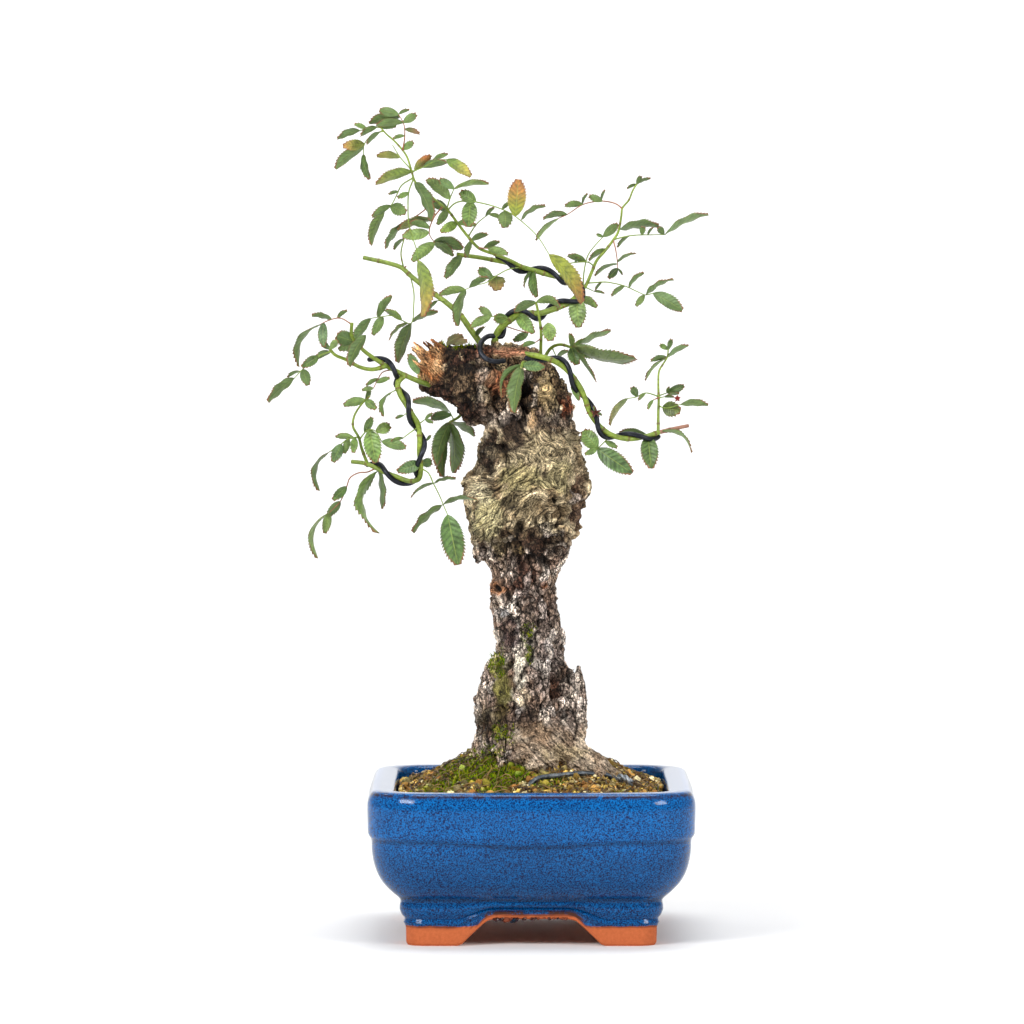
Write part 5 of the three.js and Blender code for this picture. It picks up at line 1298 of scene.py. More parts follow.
# Moss cushions: middle across and deep, radius, and how thickly they grow
MOSS_PATCHES = [
    (-24, -26, 15, 1.0), (-10, -33, 13, 1.0), (-42, -34, 13, 0.8), (-34, -12, 11, 0.8),
    (-52, -44, 9, 0.6), (-18, -46, 10, 0.7), (8, -42, 9, 0.5), (44, -48, 8, 0.5), (-30, 12, 14, 0.8),
    (-12, 36, 14, 0.7), (26, 30, 12, 0.6), (48, 8, 9, 0.4), (-50, 40, 12, 0.6), (30, 62, 10, 0.4),
    (60, -24, 7, 0.4), (2, -24, 8, 0.7), (-58, 0, 8, 0.5),
]


def soil_height(x, y):
    distance = (x / SOIL_SPREAD_ACROSS) ** 2 + (y / SOIL_SPREAD_DEEP) ** 2
    rough = 0.7 * np.sin(x * 0.55 + 1) * np.cos(y * 0.47)
    return SOIL_EDGE_HEIGHT + SOIL_MOUND_RISE * np.exp(-distance) + rough


def moss_at(x, y):
    """How mossy the soil is at a place, 0 to 1"""
    most = 0.0
    for middle_x, middle_y, radius, thickness in MOSS_PATCHES:
        reach = math.hypot(x - middle_x, y - middle_y) / radius
        ragged = noise.noise(Vector((x * 0.22, y * 0.22, radius)))
        most = max(most, thickness * (1 - float(blend_in(reach + 0.5 * ragged, 0.55, 1.1))))
    return most


def meets_wall(x, y):
    """Whether a place is so far out that it touches the pot's wall"""
    return abs(x) > POT_WIDTH / 2 - RIM_WIDTH - 2 or abs(y) > POT_DEPTH / 2 - RIM_WIDTH - 2


def soil_places(count, chance, spread=0.985):
    """Random places on the soil, clear of the trunk and inside the pot"""
    half_width = POT_WIDTH / 2 - RIM_WIDTH - WALL_GAP
    half_depth = POT_DEPTH / 2 - RIM_WIDTH - WALL_GAP
    corner = POT_CORNER - RIM_WIDTH
    places = []
    while len(places) < count:
        x = chance.uniform(-half_width, half_width) * spread
        y = chance.uniform(-half_depth, half_depth) * spread
        over_x = abs(x) - (half_width - corner)
        over_y = abs(y) - (half_depth - corner)
        if over_x > 0 and over_y > 0 and math.hypot(over_x, over_y) > corner - 1:
            continue
        if math.hypot(x / TRUNK_FOOT[0], y / TRUNK_FOOT[1]) < 1:
            continue
        places.append((x, y))
    return places


def stone_forms(count, subdivisions, chance):
    """A few crumbly stones of about radius 1, to be turned and scaled"""
    forms = []
    for _ in range(count):
        mesh = bmesh.new()
        bmesh.ops.create_icosphere(mesh, subdivisions=subdivisions, radius=1)
        points = np.array([corner.co[:] for corner in mesh.verts])
        faces = [tuple(corner.index for corner in face.verts) for face in mesh.faces]
        mesh.free()
        squeeze = np.array([chance.uniform(0.75, 1.15) for _ in range(3)])
        shift = Vector((chance.uniform(0, 90), 0, 0))
        out = [1 + 0.6 * noise.noise(Vector(point) * 1.9 + shift) for point in points]
        forms.append((points * squeeze * np.array(out)[:, None], faces))
    return forms


def turned(points, chance):
    """Points turned at random about all three axes"""
    turn = np.array([[chance.gauss(0, 1) for _ in range(3)] for _ in range(3)])
    turn, _ = np.linalg.qr(turn)
    return points @ turn.T


def soil_bed():
    """The mound below the loose granules, down to the pot's floor"""
    shape = Shape()
    rings = []
    for height, inset in reversed([row for row in POT_INSIDE if row[0] < SOIL_EDGE_HEIGHT - 4]):
        ring, _ = perimeter(inset + 0.35)
        rings.append(np.column_stack([ring, np.full(len(ring), height + 0.35)]))
    edge, _ = perimeter(RIM_WIDTH + 1)
    rings.append(np.column_stack([edge, np.full(len(edge), SOIL_EDGE_HEIGHT - 1.2)]))
    for part in np.linspace(0.98, 0.04, 34):
        ring = edge * part
        heights = soil_height(ring[:, 0], ring[:, 1]) - 0.9
        ring = np.column_stack([ring, heights])
        ring[:, 2] += 0.8 * fractal(ring, 4, 3, 2.0)
        rings.append(ring)
    points = np.concatenate(rings)
    tint = between((30, 20, 10), (84, 60, 30), blend_in(fractal(points, 6, 3, 40.0), -0.4, 0.4))
    green = np.array([moss_at(x, y) for x, y, _ in points])[:, None]
    tint = tint + (rgb(96, 100, 38) - tint) * green * 0.7
    shape.add(points, grid_faces(len(rings), len(edge), closed=True), tint)
    shape.build("soil_bed", grain_paint(), ["soil"])


def granules(name, count, subdivisions, sizes, chance):
    """Loose stones, fewer and darker in the moss; sizes are the least, the most and the usual"""
    forms = stone_forms(8, subdivisions, chance)
    shape = Shape()
    for x, y in soil_places(count, chance):
        size = chance.triangular(*sizes)
        mossy = moss_at(x, y)
        if mossy > 0.5 and chance.random() < 0.55:
            continue
        points, faces = chance.choice(forms)
        middle = np.array([x, y, soil_height(x, y) + size * chance.uniform(-0.48, 0.26)])
        colour = np.array(rgb(*chance.choice(GRANULE_COLOURS))) * chance.uniform(0.45, 1.8)
        colour *= 1 - np.array(MOSS_SHADE) * mossy
        shape.add(turned(points, chance) * size / 2 + middle, faces, colour)
    shape.build(name, grain_paint(), [], smooth=subdivisions > 1)


def litter(chance):
    """Thin rootlets, needles and bark crumbs that lie on the soil"""
    shape = Shape()
    for x, y in soil_places(LITTER_COUNT, chance, 0.97):
        if math.hypot(x, y) > 70 and chance.random() < 0.5:
            continue
        heading = chance.uniform(0, 2 * math.pi)
        bend = chance.uniform(-0.3, 0.3)
        length = chance.triangular(2.5, 14, 6)
        lift = chance.uniform(0.4, 2.2)
        points = []
        for step in range(5):
            points.append((x, y, soil_height(x, y) + 0.5 + lift * math.sin(step * 0.8)))
            x += math.cos(heading) * length / 4
            y += math.sin(heading) * length / 4
            heading += bend
        if meets_wall(x, y):
            continue
        radius = chance.uniform(0.14, 0.34)
        colour = rgb(*chance.choice(LITTER_COLOURS))
        shape.add(*tube(points, [radius, radius, radius, radius * 0.8, 0.08], sides=4), colour)
    shape.build("soil_litter", stem_paint(), [])


def add_moss_shoot(shape, root, out, height, chance):
    """One tiny pointed shoot, darker at its root"""
    lean = (out + [chance.gauss(0, 0.5), chance.gauss(0, 0.5), 0]) * height
    turn = chance.uniform(0, 6.28)
    corners = [
        root + MOSS_SHOOT_RADIUS * np.array([math.cos(turn + k * 2.094), math.sin(turn + k * 2.094), 0])
        for k in range(3)
    ]
    colour = np.array(rgb(*chance.choice(MOSS_COLOURS)))
    shades = [colour * 0.55] * 3 + [colour * 1.15]
    shape.add([*corners, root + lean], [(0, 1, 3), (1, 2, 3), (2, 0, 3)], shades)


def moss(chance):
    """Short upright shoots, close together on the cushions"""
    shape = Shape()
    for x, y in soil_places(MOSS_TRIES, chance):
        if chance.random() > moss_at(x, y):
            continue
        root = np.array([x, y, soil_height(x, y) - 0.3])
        add_moss_shoot(shape, root, np.array([0, 0, 1.0]), chance.uniform(0.9, 2.3), chance)
    shape.build("soil_moss", moss_paint(), [], smooth=False)


def soil():
    chance = random.Random(SEED)
    soil_bed()
    granules("soil_granules", GRANULE_COUNT, 2, (1.3, 4.4, 1.9), chance)
    granules("soil_grit", GRIT_COUNT, 1, (0.6, 2.0, 1.1), chance)
    litter(chance)
    moss(chance)


# Leaf tables, in millimetres. A stem is its start and end radius and a path of (across, up,
# depth). A leaf is how far its stalk ends behind its root, the stalk, and its leaflets. A leaflet
# is its root and its tip across and up, its width, and it may add its tip's depth behind its root
# and its bow sideways.

DEAD_BROWN = (150, 108, 90)

# The wired hairpin branch on top, the tall shoot and the upper right shoot
HAIRPIN = [
    (-18, 273, -5), (-16, 282.5, -8), (-12.7, 286.5, -9), (-9, 289.2, -8), (-5, 291.5, -6),
    (4.2, 291.8, -3), (10, 293.5, 0), (14, 295, 2), (18.4, 297, 4), (22, 300.5, 6), (22.4, 305.5, 6),
    (19.4, 307.8, 5), (13.7, 308.7, 2), (8, 310, -1), (0, 312.3, -4), (-10, 315.2, -6),
    (-17, 316.7, -6), (-24, 318, -5), (-35, 319.5, -3),
]
TOP_STEMS = [
    (1.7, 1.0, HAIRPIN),
    (0.85, 0.4, [
        (-2, 312.5, -5), (-10, 316.7, -11), (-17, 319.5, -13), (-24.5, 322.4, -15), (-29, 327, -17),
        (-34.5, 334, -19), (-39, 340, -21), (-45, 345, -24), (-50, 349.5, -26), (-54.5, 353.5, -28),
        (-56.5, 359.5, -30), (-58.5, 365.5, -31), (-60.5, 368.5, -31), (-64.5, 373, -31),
        (-68, 376, -31), (-71.5, 380, -32),
    ]),
    (0.9, 0.4, [
        (21.5, 300.5, 6), (25.5, 304.5, 10), (28.5, 311, 15), (31, 316.7, 19), (35, 321.4, 22),
        (38.5, 326, 25), (41, 330, 28), (42.5, 337.5, 32), (43, 341.3, 34), (46, 345, 36),
        (48, 349.8, 38), (50, 353, 40),
    ]),
]
TOP_LEAVES = [
    # Crown of the tall shoot
    (-6, [(-60.5, 368.5), (-59.5, 375), (-60, 381), (-62.5, 385.5)], [
        (-62.5, 385.5, -71.5, 387.5, 4.6), (-62.5, 385.5, -57.5, 387.5, 1.6),
        (-60.3, 381.5, -54, 385.5, 4.2), (-60.3, 381.5, -73, 380.5, 3.6, -2),
        (-59.5, 378.5, -52.5, 376.5, 2.4), (-61.8, 384.5, -76, 381.3, 4.4, 7),
        (-59.8, 375.5, -65, 374, 1.8),
    ]),
    (0, [(-60.4, 368.8)], [(-60.4, 368.8, -55.5, 372.5, 3.6, -3)]),
    (7, [(-70, 377.5), (-75, 375.5), (-78.5, 371.5), (-79, 366.5)], [
        (-78.7, 371.5, -88.5, 370.5, 5.4), (-79.3, 370.5, -92.3, 360.3, 4.9, 5),
        (-79, 366.5, -76.5, 355, 3.6), (-71, 376.5, -77.5, 371.5, 2.2, -4),
    ]),
    (-4, [(-71, 379.5), (-76, 379), (-80.5, 377.8)], [
        (-80.5, 377.8, -91.5, 374.3, 3.3), (-77.5, 378.5, -83, 380.8, 2.4),
        (-72.5, 379.3, -80.5, 375.7, 2.8, -5),
    ]),
    (0, [(-71.3, 379.8)], [(-71.3, 379.8, -66.3, 382.5, 3, -4), (-69.5, 377, -63.8, 380, 3.4, 4)]),
    (10, [(-57, 359.5), (-61.5, 365), (-65.3, 371)], [(-61.6, 365.4, -72.5, 366, 3.5, 3)]),
    (-10, [(-56.3, 358.5), (-50, 361), (-45, 363.5), (-40, 364.3)], [
        (-40, 364.3, -28.3, 356.5, 5.4, 3), (-51, 360.5, -39.8, 363.2, 3.8, -6),
        (-55, 359, -47.3, 366.5, 4.2), (-47.5, 362.5, -39.5, 366.6, 2.2, 5),
    ]),
    (0, [(-57, 358)], [(-56.4, 358.5, -73.5, 353, 4.9, -7)]),
    (-7, [(-39.5, 341), (-38.5, 345), (-36.3, 350.5)], [
        (-36.3, 350.5, -43.3, 355, 4.2), (-36.3, 350.5, -20.3, 353.3, 2.6),
        (-38.3, 345.5, -49, 355.3, 5.8, -6),
    ]),
    (0, [(-54.5, 353.5)], [(-54.5, 353.5, -45.8, 335.3, 5.6, -9)]),
    (4, [
        (-56, 355), (-57.6, 349), (-58, 341.5), (-57.6, 334), (-55.7, 327), (-53.8, 321), (-53.3, 317),
    ], [
        (-53.3, 317, -50.2, 290, 6.8, -4), (-57.6, 348.7, -62.8, 346.3, 2.8, -2),
    ]),
    (12, [(-56, 355.5), (-61, 352), (-63.3, 347.5), (-66, 342.5), (-69.3, 339.5)], [
        (-66, 342.5, -75, 337.3, 3.1), (-66, 342, -59, 339.2, 6.2), (-69.3, 339.5, -76.2, 324, 4.3),
        (-62.6, 349.3, -67, 348, 1.6),
    ]),
    (0, [(-39.5, 340.5)], [(-39.5, 341, -48.5, 344.3, 4.6, 7), (-38.5, 339.5, -44, 333.8, 4, 5)]),
    (-12, [
        (-39, 340.5), (-35.5, 343.8), (-30, 344.7), (-25, 344), (-17, 342), (-10, 339), (-5, 335.5),
        (3, 328), (8.5, 319.5),
    ], [
        (-26, 344.2, -33.5, 349, 6, 2), (-28.5, 344.5, -29.7, 332.5, 7.6, -3),
        (-7.5, 337.3, -6, 355, 9, -3), (-5, 335.5, 6.3, 342.8, 2.1), (-12.3, 340, -12.3, 332.3, 7.2, 4),
        (-14, 340.8, -10, 344, 2), (8.5, 319.5, 25, 297, 7.6, -6),
    ]),
    (8, [(-42, 342), (-46, 336.5), (-48, 329.5), (-45.5, 325)], [
        (-46.2, 336, -62.8, 331.8, 4, 4), (-47.5, 332, -57, 335, 3.6, -4),
        (-48, 330, -60.6, 328, 5.6, 2), (-45.5, 325, -56, 316.6, 5.6, 5),
        (-45.5, 325, -37, 319.3, 4.3, 8), (-46, 326, -32.4, 322.3, 6, 12),
    ]),
    (10, [(-45, 345), (-52, 339), (-60, 334)], [(-60, 334, -69.3, 322.6, 3.1)]),
    (0, [(-35, 334.5)], [(-35, 334.5, -42.5, 330.3, 4.7, -5), (-31, 330, -26, 333.5, 3, -4)]),
    (0, [(-28, 326)], [(-28, 326, -20.5, 329.5, 3, -4), (-26.5, 324.5, -30.5, 318.8, 3, 5)]),
    (-5, [(-25, 322.6), (-20.5, 322.3)], [
        (-20.5, 322.3, -11, 319.7, 3.8, 2), (-22.5, 322.4, -15, 325.5, 2.6),
    ]),
    (6, [(-29.5, 327.8), (-25.5, 334), (-20, 338.5)], [
        (-21.5, 337.5, -17.5, 341.8, 1.8), (-20, 338.5, -14, 336.4, 2),
    ]),
    # Branch itself
    (-13, [(-4, 313.3), (-10, 312.7), (-15.5, 310), (-21, 306.3), (-26, 305), (-31, 303)], [
        (-31, 303, -43.3, 300.7, 3.9), (-31, 303, -35.4, 286.3, 4.4), (-29, 303.8, -20.5, 309, 3.2, -4),
        (-16.5, 309.5, -16, 302.8, 8.4, 5), (-18, 308.3, -25, 312.8, 5, 5),
    ]),
    (0, [(-32, 319)], [(-33, 319.2, -40.6, 308.4, 5, -4)]),
    (0, [(1, 312)], [(1, 311, 2.6, 299.5, 4.2, -6), (0, 311.5, -3.6, 304.3, 1.6, -4)]),
    (-13, [(-10, 288.5), (-14, 290), (-19, 290.2)], [
        (-10.5, 289, -17.5, 289.6, 5.2, -5), (-19, 290.2, -28.5, 285.3, 4.3),
        (-18.3, 290.3, -24.3, 294.6, 3.8),
    ]),
    (0, [(-6, 291)], [(-6, 290, 1, 282.6, 6.4, -10)]),
    (9, [(-13, 286), (-7, 284), (-1.3, 282.5)], [(-1.3, 282.5, -8.2, 278.8, 3.9)]),
    (0, [(21.8, 299)], [(21.7, 297.5, 22.4, 285.2, 8.6, -5), (22, 298.5, 31, 295, 4, 5)]),
    # Upper right shoot
    (-6, [(24, 304), (24.7, 309), (25.6, 315), (27, 319.5), (31, 324.7), (34, 327.8)], [
        (34, 327.8, 41, 334, 4.4), (34, 327.8, 30.8, 329, 1.8),
    ]),
    (0, [(41.3, 331.5)], [(41.3, 331.5, 60, 333.6, 4, 5)]),
    (-8, [(29.5, 314), (27, 315.8), (22, 315.8), (16, 315)], [
        (26, 316, 17.3, 319.3, 3.4), (20.5, 315.8, 22.3, 318, 1.4),
    ]),
    (0, [(35.5, 322)], [(35.5, 322, 27, 316.8, 2.6, -4)]),
    (9, [(39.3, 326.3), (45, 328), (50, 328.6), (56, 328.7), (63, 328.8)], [
        (62.5, 328.8, 60, 332.5, 3.4, -3), (63, 329, 83.3, 338.6, 3.2, 4),
        (52, 328.7, 52.8, 332.6, 3, -3), (46, 328.2, 40.8, 323, 1.6), (55, 328.7, 57.5, 332.3, 1.2),
    ]),
    (-10, [(39, 326), (39.8, 322), (40.6, 316.5), (40.8, 313)], [
        (40.7, 316, 49.2, 320.4, 1.5), (40.7, 315, 30, 310, 1.7), (40.8, 313, 36.5, 308.3, 3.6),
        (40.8, 312.7, 43, 310, 1),
    ]),
    (-9, [
        (27.5, 305.5), (30, 306.2), (35, 306.5), (38.5, 306), (44.5, 304.5), (50, 302), (54, 300.4),
        (58, 301.4),
    ], [
        (44, 304.6, 37.8, 300, 2.3), (46, 304, 52.7, 311, 2.2), (54, 300.6, 67, 308, 2.4),
        (53.5, 300.5, 49.5, 295.3, 3.2), (57.5, 301.4, 71.6, 293.3, 6.6, -4),
        (33, 306.4, 30.3, 303, 1.2),
    ]),
    (4, [(26, 303.5), (29.5, 302.2)], [(29.5, 302.2, 34.5, 301.3, 1.2)]),
    (8, [(42.8, 341), (40, 343.3), (34, 344.6), (28, 344), (24, 342.8), (17, 338.3), (12.5, 336.3)], [
        (33.5, 344.6, 27.3, 347, 3.6), (33, 344.7, 34.7, 349.7, 1.2), (24.5, 343, 15.8, 342.6, 3.2),
        (24, 342.9, 26.3, 348, 1.2), (17, 338.4, 5.5, 336.7, 3), (12.5, 336.3, 2.3, 326.3, 2.2, 3),
    ]),
    (0, [(49.8, 352.5)], [
        (49.8, 352.5, 51.8, 356.5, 2.6, -3), (49.5, 352, 56, 355.2, 1.4, 3),
        (48, 350, 45.2, 350.5, 1.4),
    ]),
]

# The stout shoot with the cut end
CUT_SHOOT_STEMS = [
    (1.6, 1.0, [
        (-21.5, 273, 0), (-23.5, 277, 1), (-28.8, 284.5, 4), (-33.5, 291, 7), (-40.6, 297.3, 10),
        (-50, 304, 14), (-57, 309.7, 17), (-61, 313.2, 19), (-66.6, 315.2, 21), (-79, 318, 25),
    ]),
    (0.4, 0.3, [(-60, 312.7, 19), (-61.3, 320, 18), (-59.7, 327.5, 16)]),
]
CUT_SHOOT_LEAVES = [
    (-24, [
        (-57, 309.7), (-55.3, 302), (-55.3, 296), (-56.5, 287), (-61, 288.5), (-65.5, 290.6),
        (-70, 290.2), (-75.5, 289.4),
    ], [
        (-56.3, 288, -44.2, 292.6, 3, 4), (-56.5, 287, -63.4, 268.6, 6, -6),
        (-75.5, 289.4, -84.6, 277.3, 4.4, -5), (-72.5, 290, -66, 300, 3.9, 4),
        (-61, 288.5, -68.6, 293.4, 3.2, -4), (-58.5, 287.5, -67.3, 279.6, 1.6, -6),
        (-70, 290, -74.5, 281.8, 4.6, 5),
    ]),
    (-5, [(-40.6, 297.3), (-44, 297.8)], [(-44, 297.8, -48.6, 293.4, 1.6)]),
    (0, [(-60, 327)], [(-60, 327, -64.5, 322, 1.8, 4), (-59.8, 327.3, -57, 331.5, 1.6, -3)]),
    (0, [(-26, 280.5)], [(-26.3, 281, -22, 285.5, 2.2, -5)]),
]

# The wired left branch with its fork, and the lower branch that grows from it
LEFT_BRANCH = [
    (-43, 257.5, -3), (-50, 258.7, -9), (-56, 261, -12), (-62, 263.7, -14), (-69, 267.4, -18),
    (-75, 271.2, -22), (-80, 275.2, -25), (-84.5, 281, -28), (-84.5, 287.3, -29),
]
LOWER_BRANCH = [
    (-59.5, 262.7, -13), (-62.8, 259, -15), (-61.8, 253.7, -17), (-59, 249, -19), (-56.2, 244.2, -20),
    (-53.3, 239.3, -20), (-52.6, 233, -20), (-52.7, 226, -20), (-52, 219, -19), (-53, 213.6, -18),
    (-57, 212.6, -16), (-64.2, 215, -13), (-69, 216.7, -11), (-73.6, 219, -9), (-78.4, 221, -7),
    (-84.7, 221.8, -5),
]
LEFT_STEMS = [
    (1.4, 0.8, LEFT_BRANCH),
    (1.1, 0.7, [
        (-68, 266.9, -17.5), (-75, 265.3, -22), (-81, 266.5, -25), (-87, 269.8, -27),
        (-92.5, 272.2, -29), (-95, 275, -30),
    ]),
    (1.4, 1.0, LOWER_BRANCH),
    (0.8, 0.4, [
        (-77, 220.4, -7.5), (-79.8, 227.6, -10), (-81.2, 233, -12), (-84, 238.5, -13),
        (-83.3, 243.5, -14), (-80, 248.8, -16), (-76, 252.7, -18),
    ]),
]
LEFT_LEAVES = [
    # Fork of the left branch
    (-7, [(-94, 274), (-100, 271.6), (-105.5, 267.3), (-108.5, 264.6), (-111.5, 261.3)], [
        (-111.5, 261.3, -124.3, 250.2, 4.4, -4), (-108.5, 264.6, -114.6, 261.8, 1.5, 4),
        (-107.5, 265.5, -105.3, 258, 5, 3), (-100.5, 271.5, -108, 266.5, 4.6, -6),
        (-94.5, 273.6, -101.5, 270.5, 3, 5),
    ]),
    (5, [(-84.5, 286.5), (-90, 289.5), (-96, 288.2), (-99.5, 286.4)], [
        (-99.5, 286.4, -110.6, 267.3, 2.6, 4, -3), (-98, 287.4, -97.8, 276, 4.7, -4),
        (-91.5, 289.3, -87, 293, 2, 3), (-94, 288.8, -103, 291.2, 2.6, 4),
    ]),
    (0, [(-95, 274.8)], [(-95, 274.8, -99, 278.3, 3, 4), (-95, 274.8, -91.3, 279.3, 3.4, -4)]),
    (0, [(-82.5, 278.5)], [(-82, 278.3, -92, 281.3, 7.4, -6), (-80.2, 275.5, -90.5, 274.7, 5, 6)]),
    (-5, [(-80, 275.2), (-78.3, 279), (-78, 281.5)], [(-78, 281.5, -86.3, 267, 5.4, -5)]),
    (-3, [(-52, 259.5), (-53, 263)], [(-53, 263, -57.5, 272.7, 5, -2)]),
    (-6, [(-65, 265.3), (-70, 264), (-72.3, 260.5), (-74.3, 256.5)], [
        (-72, 261, -77.8, 257.8, 2), (-73, 259, -66.8, 261.3, 2.6),
        (-74.3, 256.5, -79.5, 255.6, 2.4, 3),
    ]),
    # Lower branch
    (-6, [(-62.3, 256), (-66, 254.5)], [(-66, 254.5, -70, 243.5, 2, 3, -1.5)]),
    (0, [(-78, 251)], [
        (-76.3, 252.5, -73.3, 246.8, 4.3, -4), (-80.3, 248.5, -88.3, 248.5, 4.4, 4),
        (-78, 250.8, -76, 256.5, 2.4, 3),
    ]),
    (-8, [(-81, 232.5), (-77, 236.7), (-73.5, 236.3), (-70.5, 231.3)], [
        (-76, 236.5, -73.3, 221.5, 8.4, -5), (-73.3, 236.3, -66.3, 238.8, 5.6, 4),
        (-70.5, 231.3, -58.8, 228.6, 5.2, -4), (-78.3, 235.5, -75, 242.8, 3.9, 3),
    ]),
    (7, [(-81.3, 233.5), (-86, 232.7), (-90, 229.7), (-95, 226.5)], [
        (-83.5, 233, -92, 233.7, 3, 4), (-89.5, 230, -93.5, 221.8, 5.4, -3),
        (-86, 232.7, -88, 226, 3.4, 4), (-95, 226.5, -100.6, 208.3, 2.2, 3, -3),
        (-83, 233, -83.8, 226.3, 3.8, -4),
    ]),
    (6, [
        (-73, 218.7), (-77.5, 216.8), (-81, 216.6), (-85.4, 214.2), (-87, 210), (-90, 203),
        (-95.3, 197.7),
    ], [
        (-87, 210, -93.4, 203.8, 4.4, -3), (-90, 203, -96.2, 196, 4.4, 3),
        (-95.3, 197.7, -97.4, 188, 4.4, -3), (-95.3, 197.7, -101.2, 176.3, 2, 3, -3),
    ]),
    (0, [(-71.5, 218)], [(-71, 216.5, -73.6, 188, 4, -5, -5), (-70.5, 217, -70, 199.8, 3, 5, -1)]),
    (0, [(-52.4, 221)], [(-52.5, 221, -62.9, 217.3, 6, -7), (-52.4, 222, -46.7, 221.5, 4.6, 5)]),
    (-7, [(-52, 218.8), (-48.5, 216.5), (-46.3, 212), (-43, 205.3), (-41.5, 201.6), (-39.4, 196.7)], [
        (-46.3, 211.7, -35.9, 214.4, 1.6, 4), (-46.3, 211.7, -56.8, 205.3, 1.5, -4),
        (-41.5, 201.6, -25.5, 204.5, 2.3, -4), (-41.5, 201.6, -55.9, 188.6, 3.5, 4),
        (-39.4, 196.7, -34.5, 173, 11.3, -3),
    ]),
    (5, [(-52.7, 229), (-49.5, 231.5)], [(-49.5, 231.5, -47.3, 234.3, 1.6)]),
    (-5, [(-53.3, 239.3), (-50, 241.7)], [
        (-50, 241.7, -46.5, 244.8, 1.6), (-50, 241.7, -46.3, 240.2, 2),
    ]),
    (-5, [(-57.3, 245.5), (-60, 243.7)], [(-60, 243.7, -64, 242.3, 1.6)]),
    (-5, [(-53.2, 238), (-57, 235.5), (-60.3, 233)], [(-60.3, 233, -66, 231.6, 1.6)]),
]

# The wired right branch with its dead tip and its upright shoot
RIGHT_BRANCH = [
    (-9, 273, -10), (-2, 272.5, -15), (6.6, 270.8, -18), (12.3, 268.5, -19), (17, 265, -20),
    (20.8, 260.3, -20), (23.6, 256, -19), (25.5, 251.3, -18), (27.4, 245.6, -17), (29.7, 241.8, -16),
    (32.6, 238.2, -15), (36.3, 235.3, -14), (40.6, 233.4, -12), (46.7, 232.5, -9), (53.8, 233.6, -6),
    (60.4, 235.7, -3),
]
RIGHT_STEMS = [
    (1.35, 1.2, RIGHT_BRANCH),
    (1.1, 0.9, [(58, 235, -4), (66, 237, -1), (74.3, 238.8, 1)], DEAD_BROWN),
    (0.8, 0.35, [
        (60, 235, -3), (60, 244.2, -1), (60.2, 251, 1), (60, 258.4, 4), (60.4, 264.6, 6),
        (62.3, 267.9, 8), (64.2, 271.2, 9), (64.7, 275, 10),
    ]),
]
RIGHT_LEAVES = [
    (7, [(38, 234.3), (34, 230.5), (31.3, 227.8)], [
        (31.3, 227.8, 24.5, 236.5, 8, 4), (31.3, 227.8, 47.5, 216.5, 9, -6),
        (31.3, 227.8, 25.5, 225.3, 3, -3), (35, 231.3, 40.5, 228.6, 3),
    ]),
    (0, [(55, 234)], [(55, 233.5, 56.7, 218.7, 8.6, -6), (53, 233.4, 42, 236, 3.4, 5)]),
    (0, [(61, 236)], [(61, 236, 76.2, 226.8, 1.8, -4, 2.2)]),
    (4, [(20.5, 260.8), (18.8, 257)], [(18.8, 257, 23, 250.8, 2.8, -4)]),
    (-2, [(28.3, 244.5), (30.5, 245)], [
        (30.5, 245, 33.3, 243.7, 1.2, 2), (30, 245, 29.8, 248, 1.2, -2),
    ]),
    (0, [(64.6, 274.8)], [(64.6, 274.8, 66.2, 279.6, 2.6, -3), (64.6, 274.3, 60.7, 277, 2.6, 3)]),
    (0, [(64, 271)], [
        (64, 271, 56.3, 269.6, 2.6, -3), (64.3, 271.6, 74, 276.6, 2.6, 4),
        (60.4, 264.8, 53.6, 260.6, 1.4, 3),
    ]),
    (-8, [(60.2, 252.5), (58, 253.3), (53.8, 254.2), (49.6, 252.3), (45.5, 251.6)], [
        (50, 252.5, 47.6, 257, 3.8, 3), (45.5, 251.6, 36.8, 239, 3, -4),
        (54, 254.2, 50.5, 251, 1.8, -3),
    ]),
    (-4, [(60.1, 252), (57.7, 251)], [(57.7, 251, 55, 246.6, 1.8)]),
    (6, [(60.2, 253), (64, 254.2)], [(64, 254.2, 72.3, 257.7, 4, 3), (64, 254.2, 65, 257.3, 1.3, -2)]),
    (3, [(60.2, 252), (63, 252.4)], [
        (63, 252.4, 67.5, 252.4, 1.4, -2), (63, 252.4, 69.5, 254, 1.3, 3),
    ]),
    (-7, [(60, 248), (64, 247), (70.5, 248.8)], [
        (62, 247.3, 70.3, 245.8, 7.6, -4), (70.5, 248.8, 83.3, 249, 3.4, 3),
    ]),
]

# Leaves that grow straight from the head of the trunk
FRONT_SPRAY_STEMS = [
    (0.8, 0.7, [(-2.5, 264, -9), (-3, 268.5, -20), (-4, 268.3, -25), (-4.7, 266, -27.5)]),
]
FRONT_SPRAY_LEAVES = [
    (0, [(-4.3, 267.5)], [
        (-4.4, 267.5, 6.5, 266.3, 5.2, -2), (-4.7, 266, -9, 244.8, 7, -4),
        (-4.7, 266.5, -14.3, 252.5, 2.2, -6, -2.4),
    ]),
]

UPRIGHT_SPRAY_STEMS = [
    (0.9, 0.6, [(4.5, 268, -4), (4.6, 276, -12), (4.7, 283, -16), (3.8, 290, -17), (2.3, 297, -17)]),
]
UPRIGHT_SPRAY_LEAVES = [
    (0, [(2.4, 297)], [(2.4, 296.7, -8.2, 292.8, 4.3, -4), (2.3, 297, 14, 295, 3.9, -3, 1.6)]),
    (-4, [(4.6, 284), (8, 287.3)], [(8, 287.3, 9.2, 278.8, 6.8, -2)]),
    (-4, [(4.6, 280), (2, 278)], [(2, 278, -4.5, 276.6, 2.4)]),
]

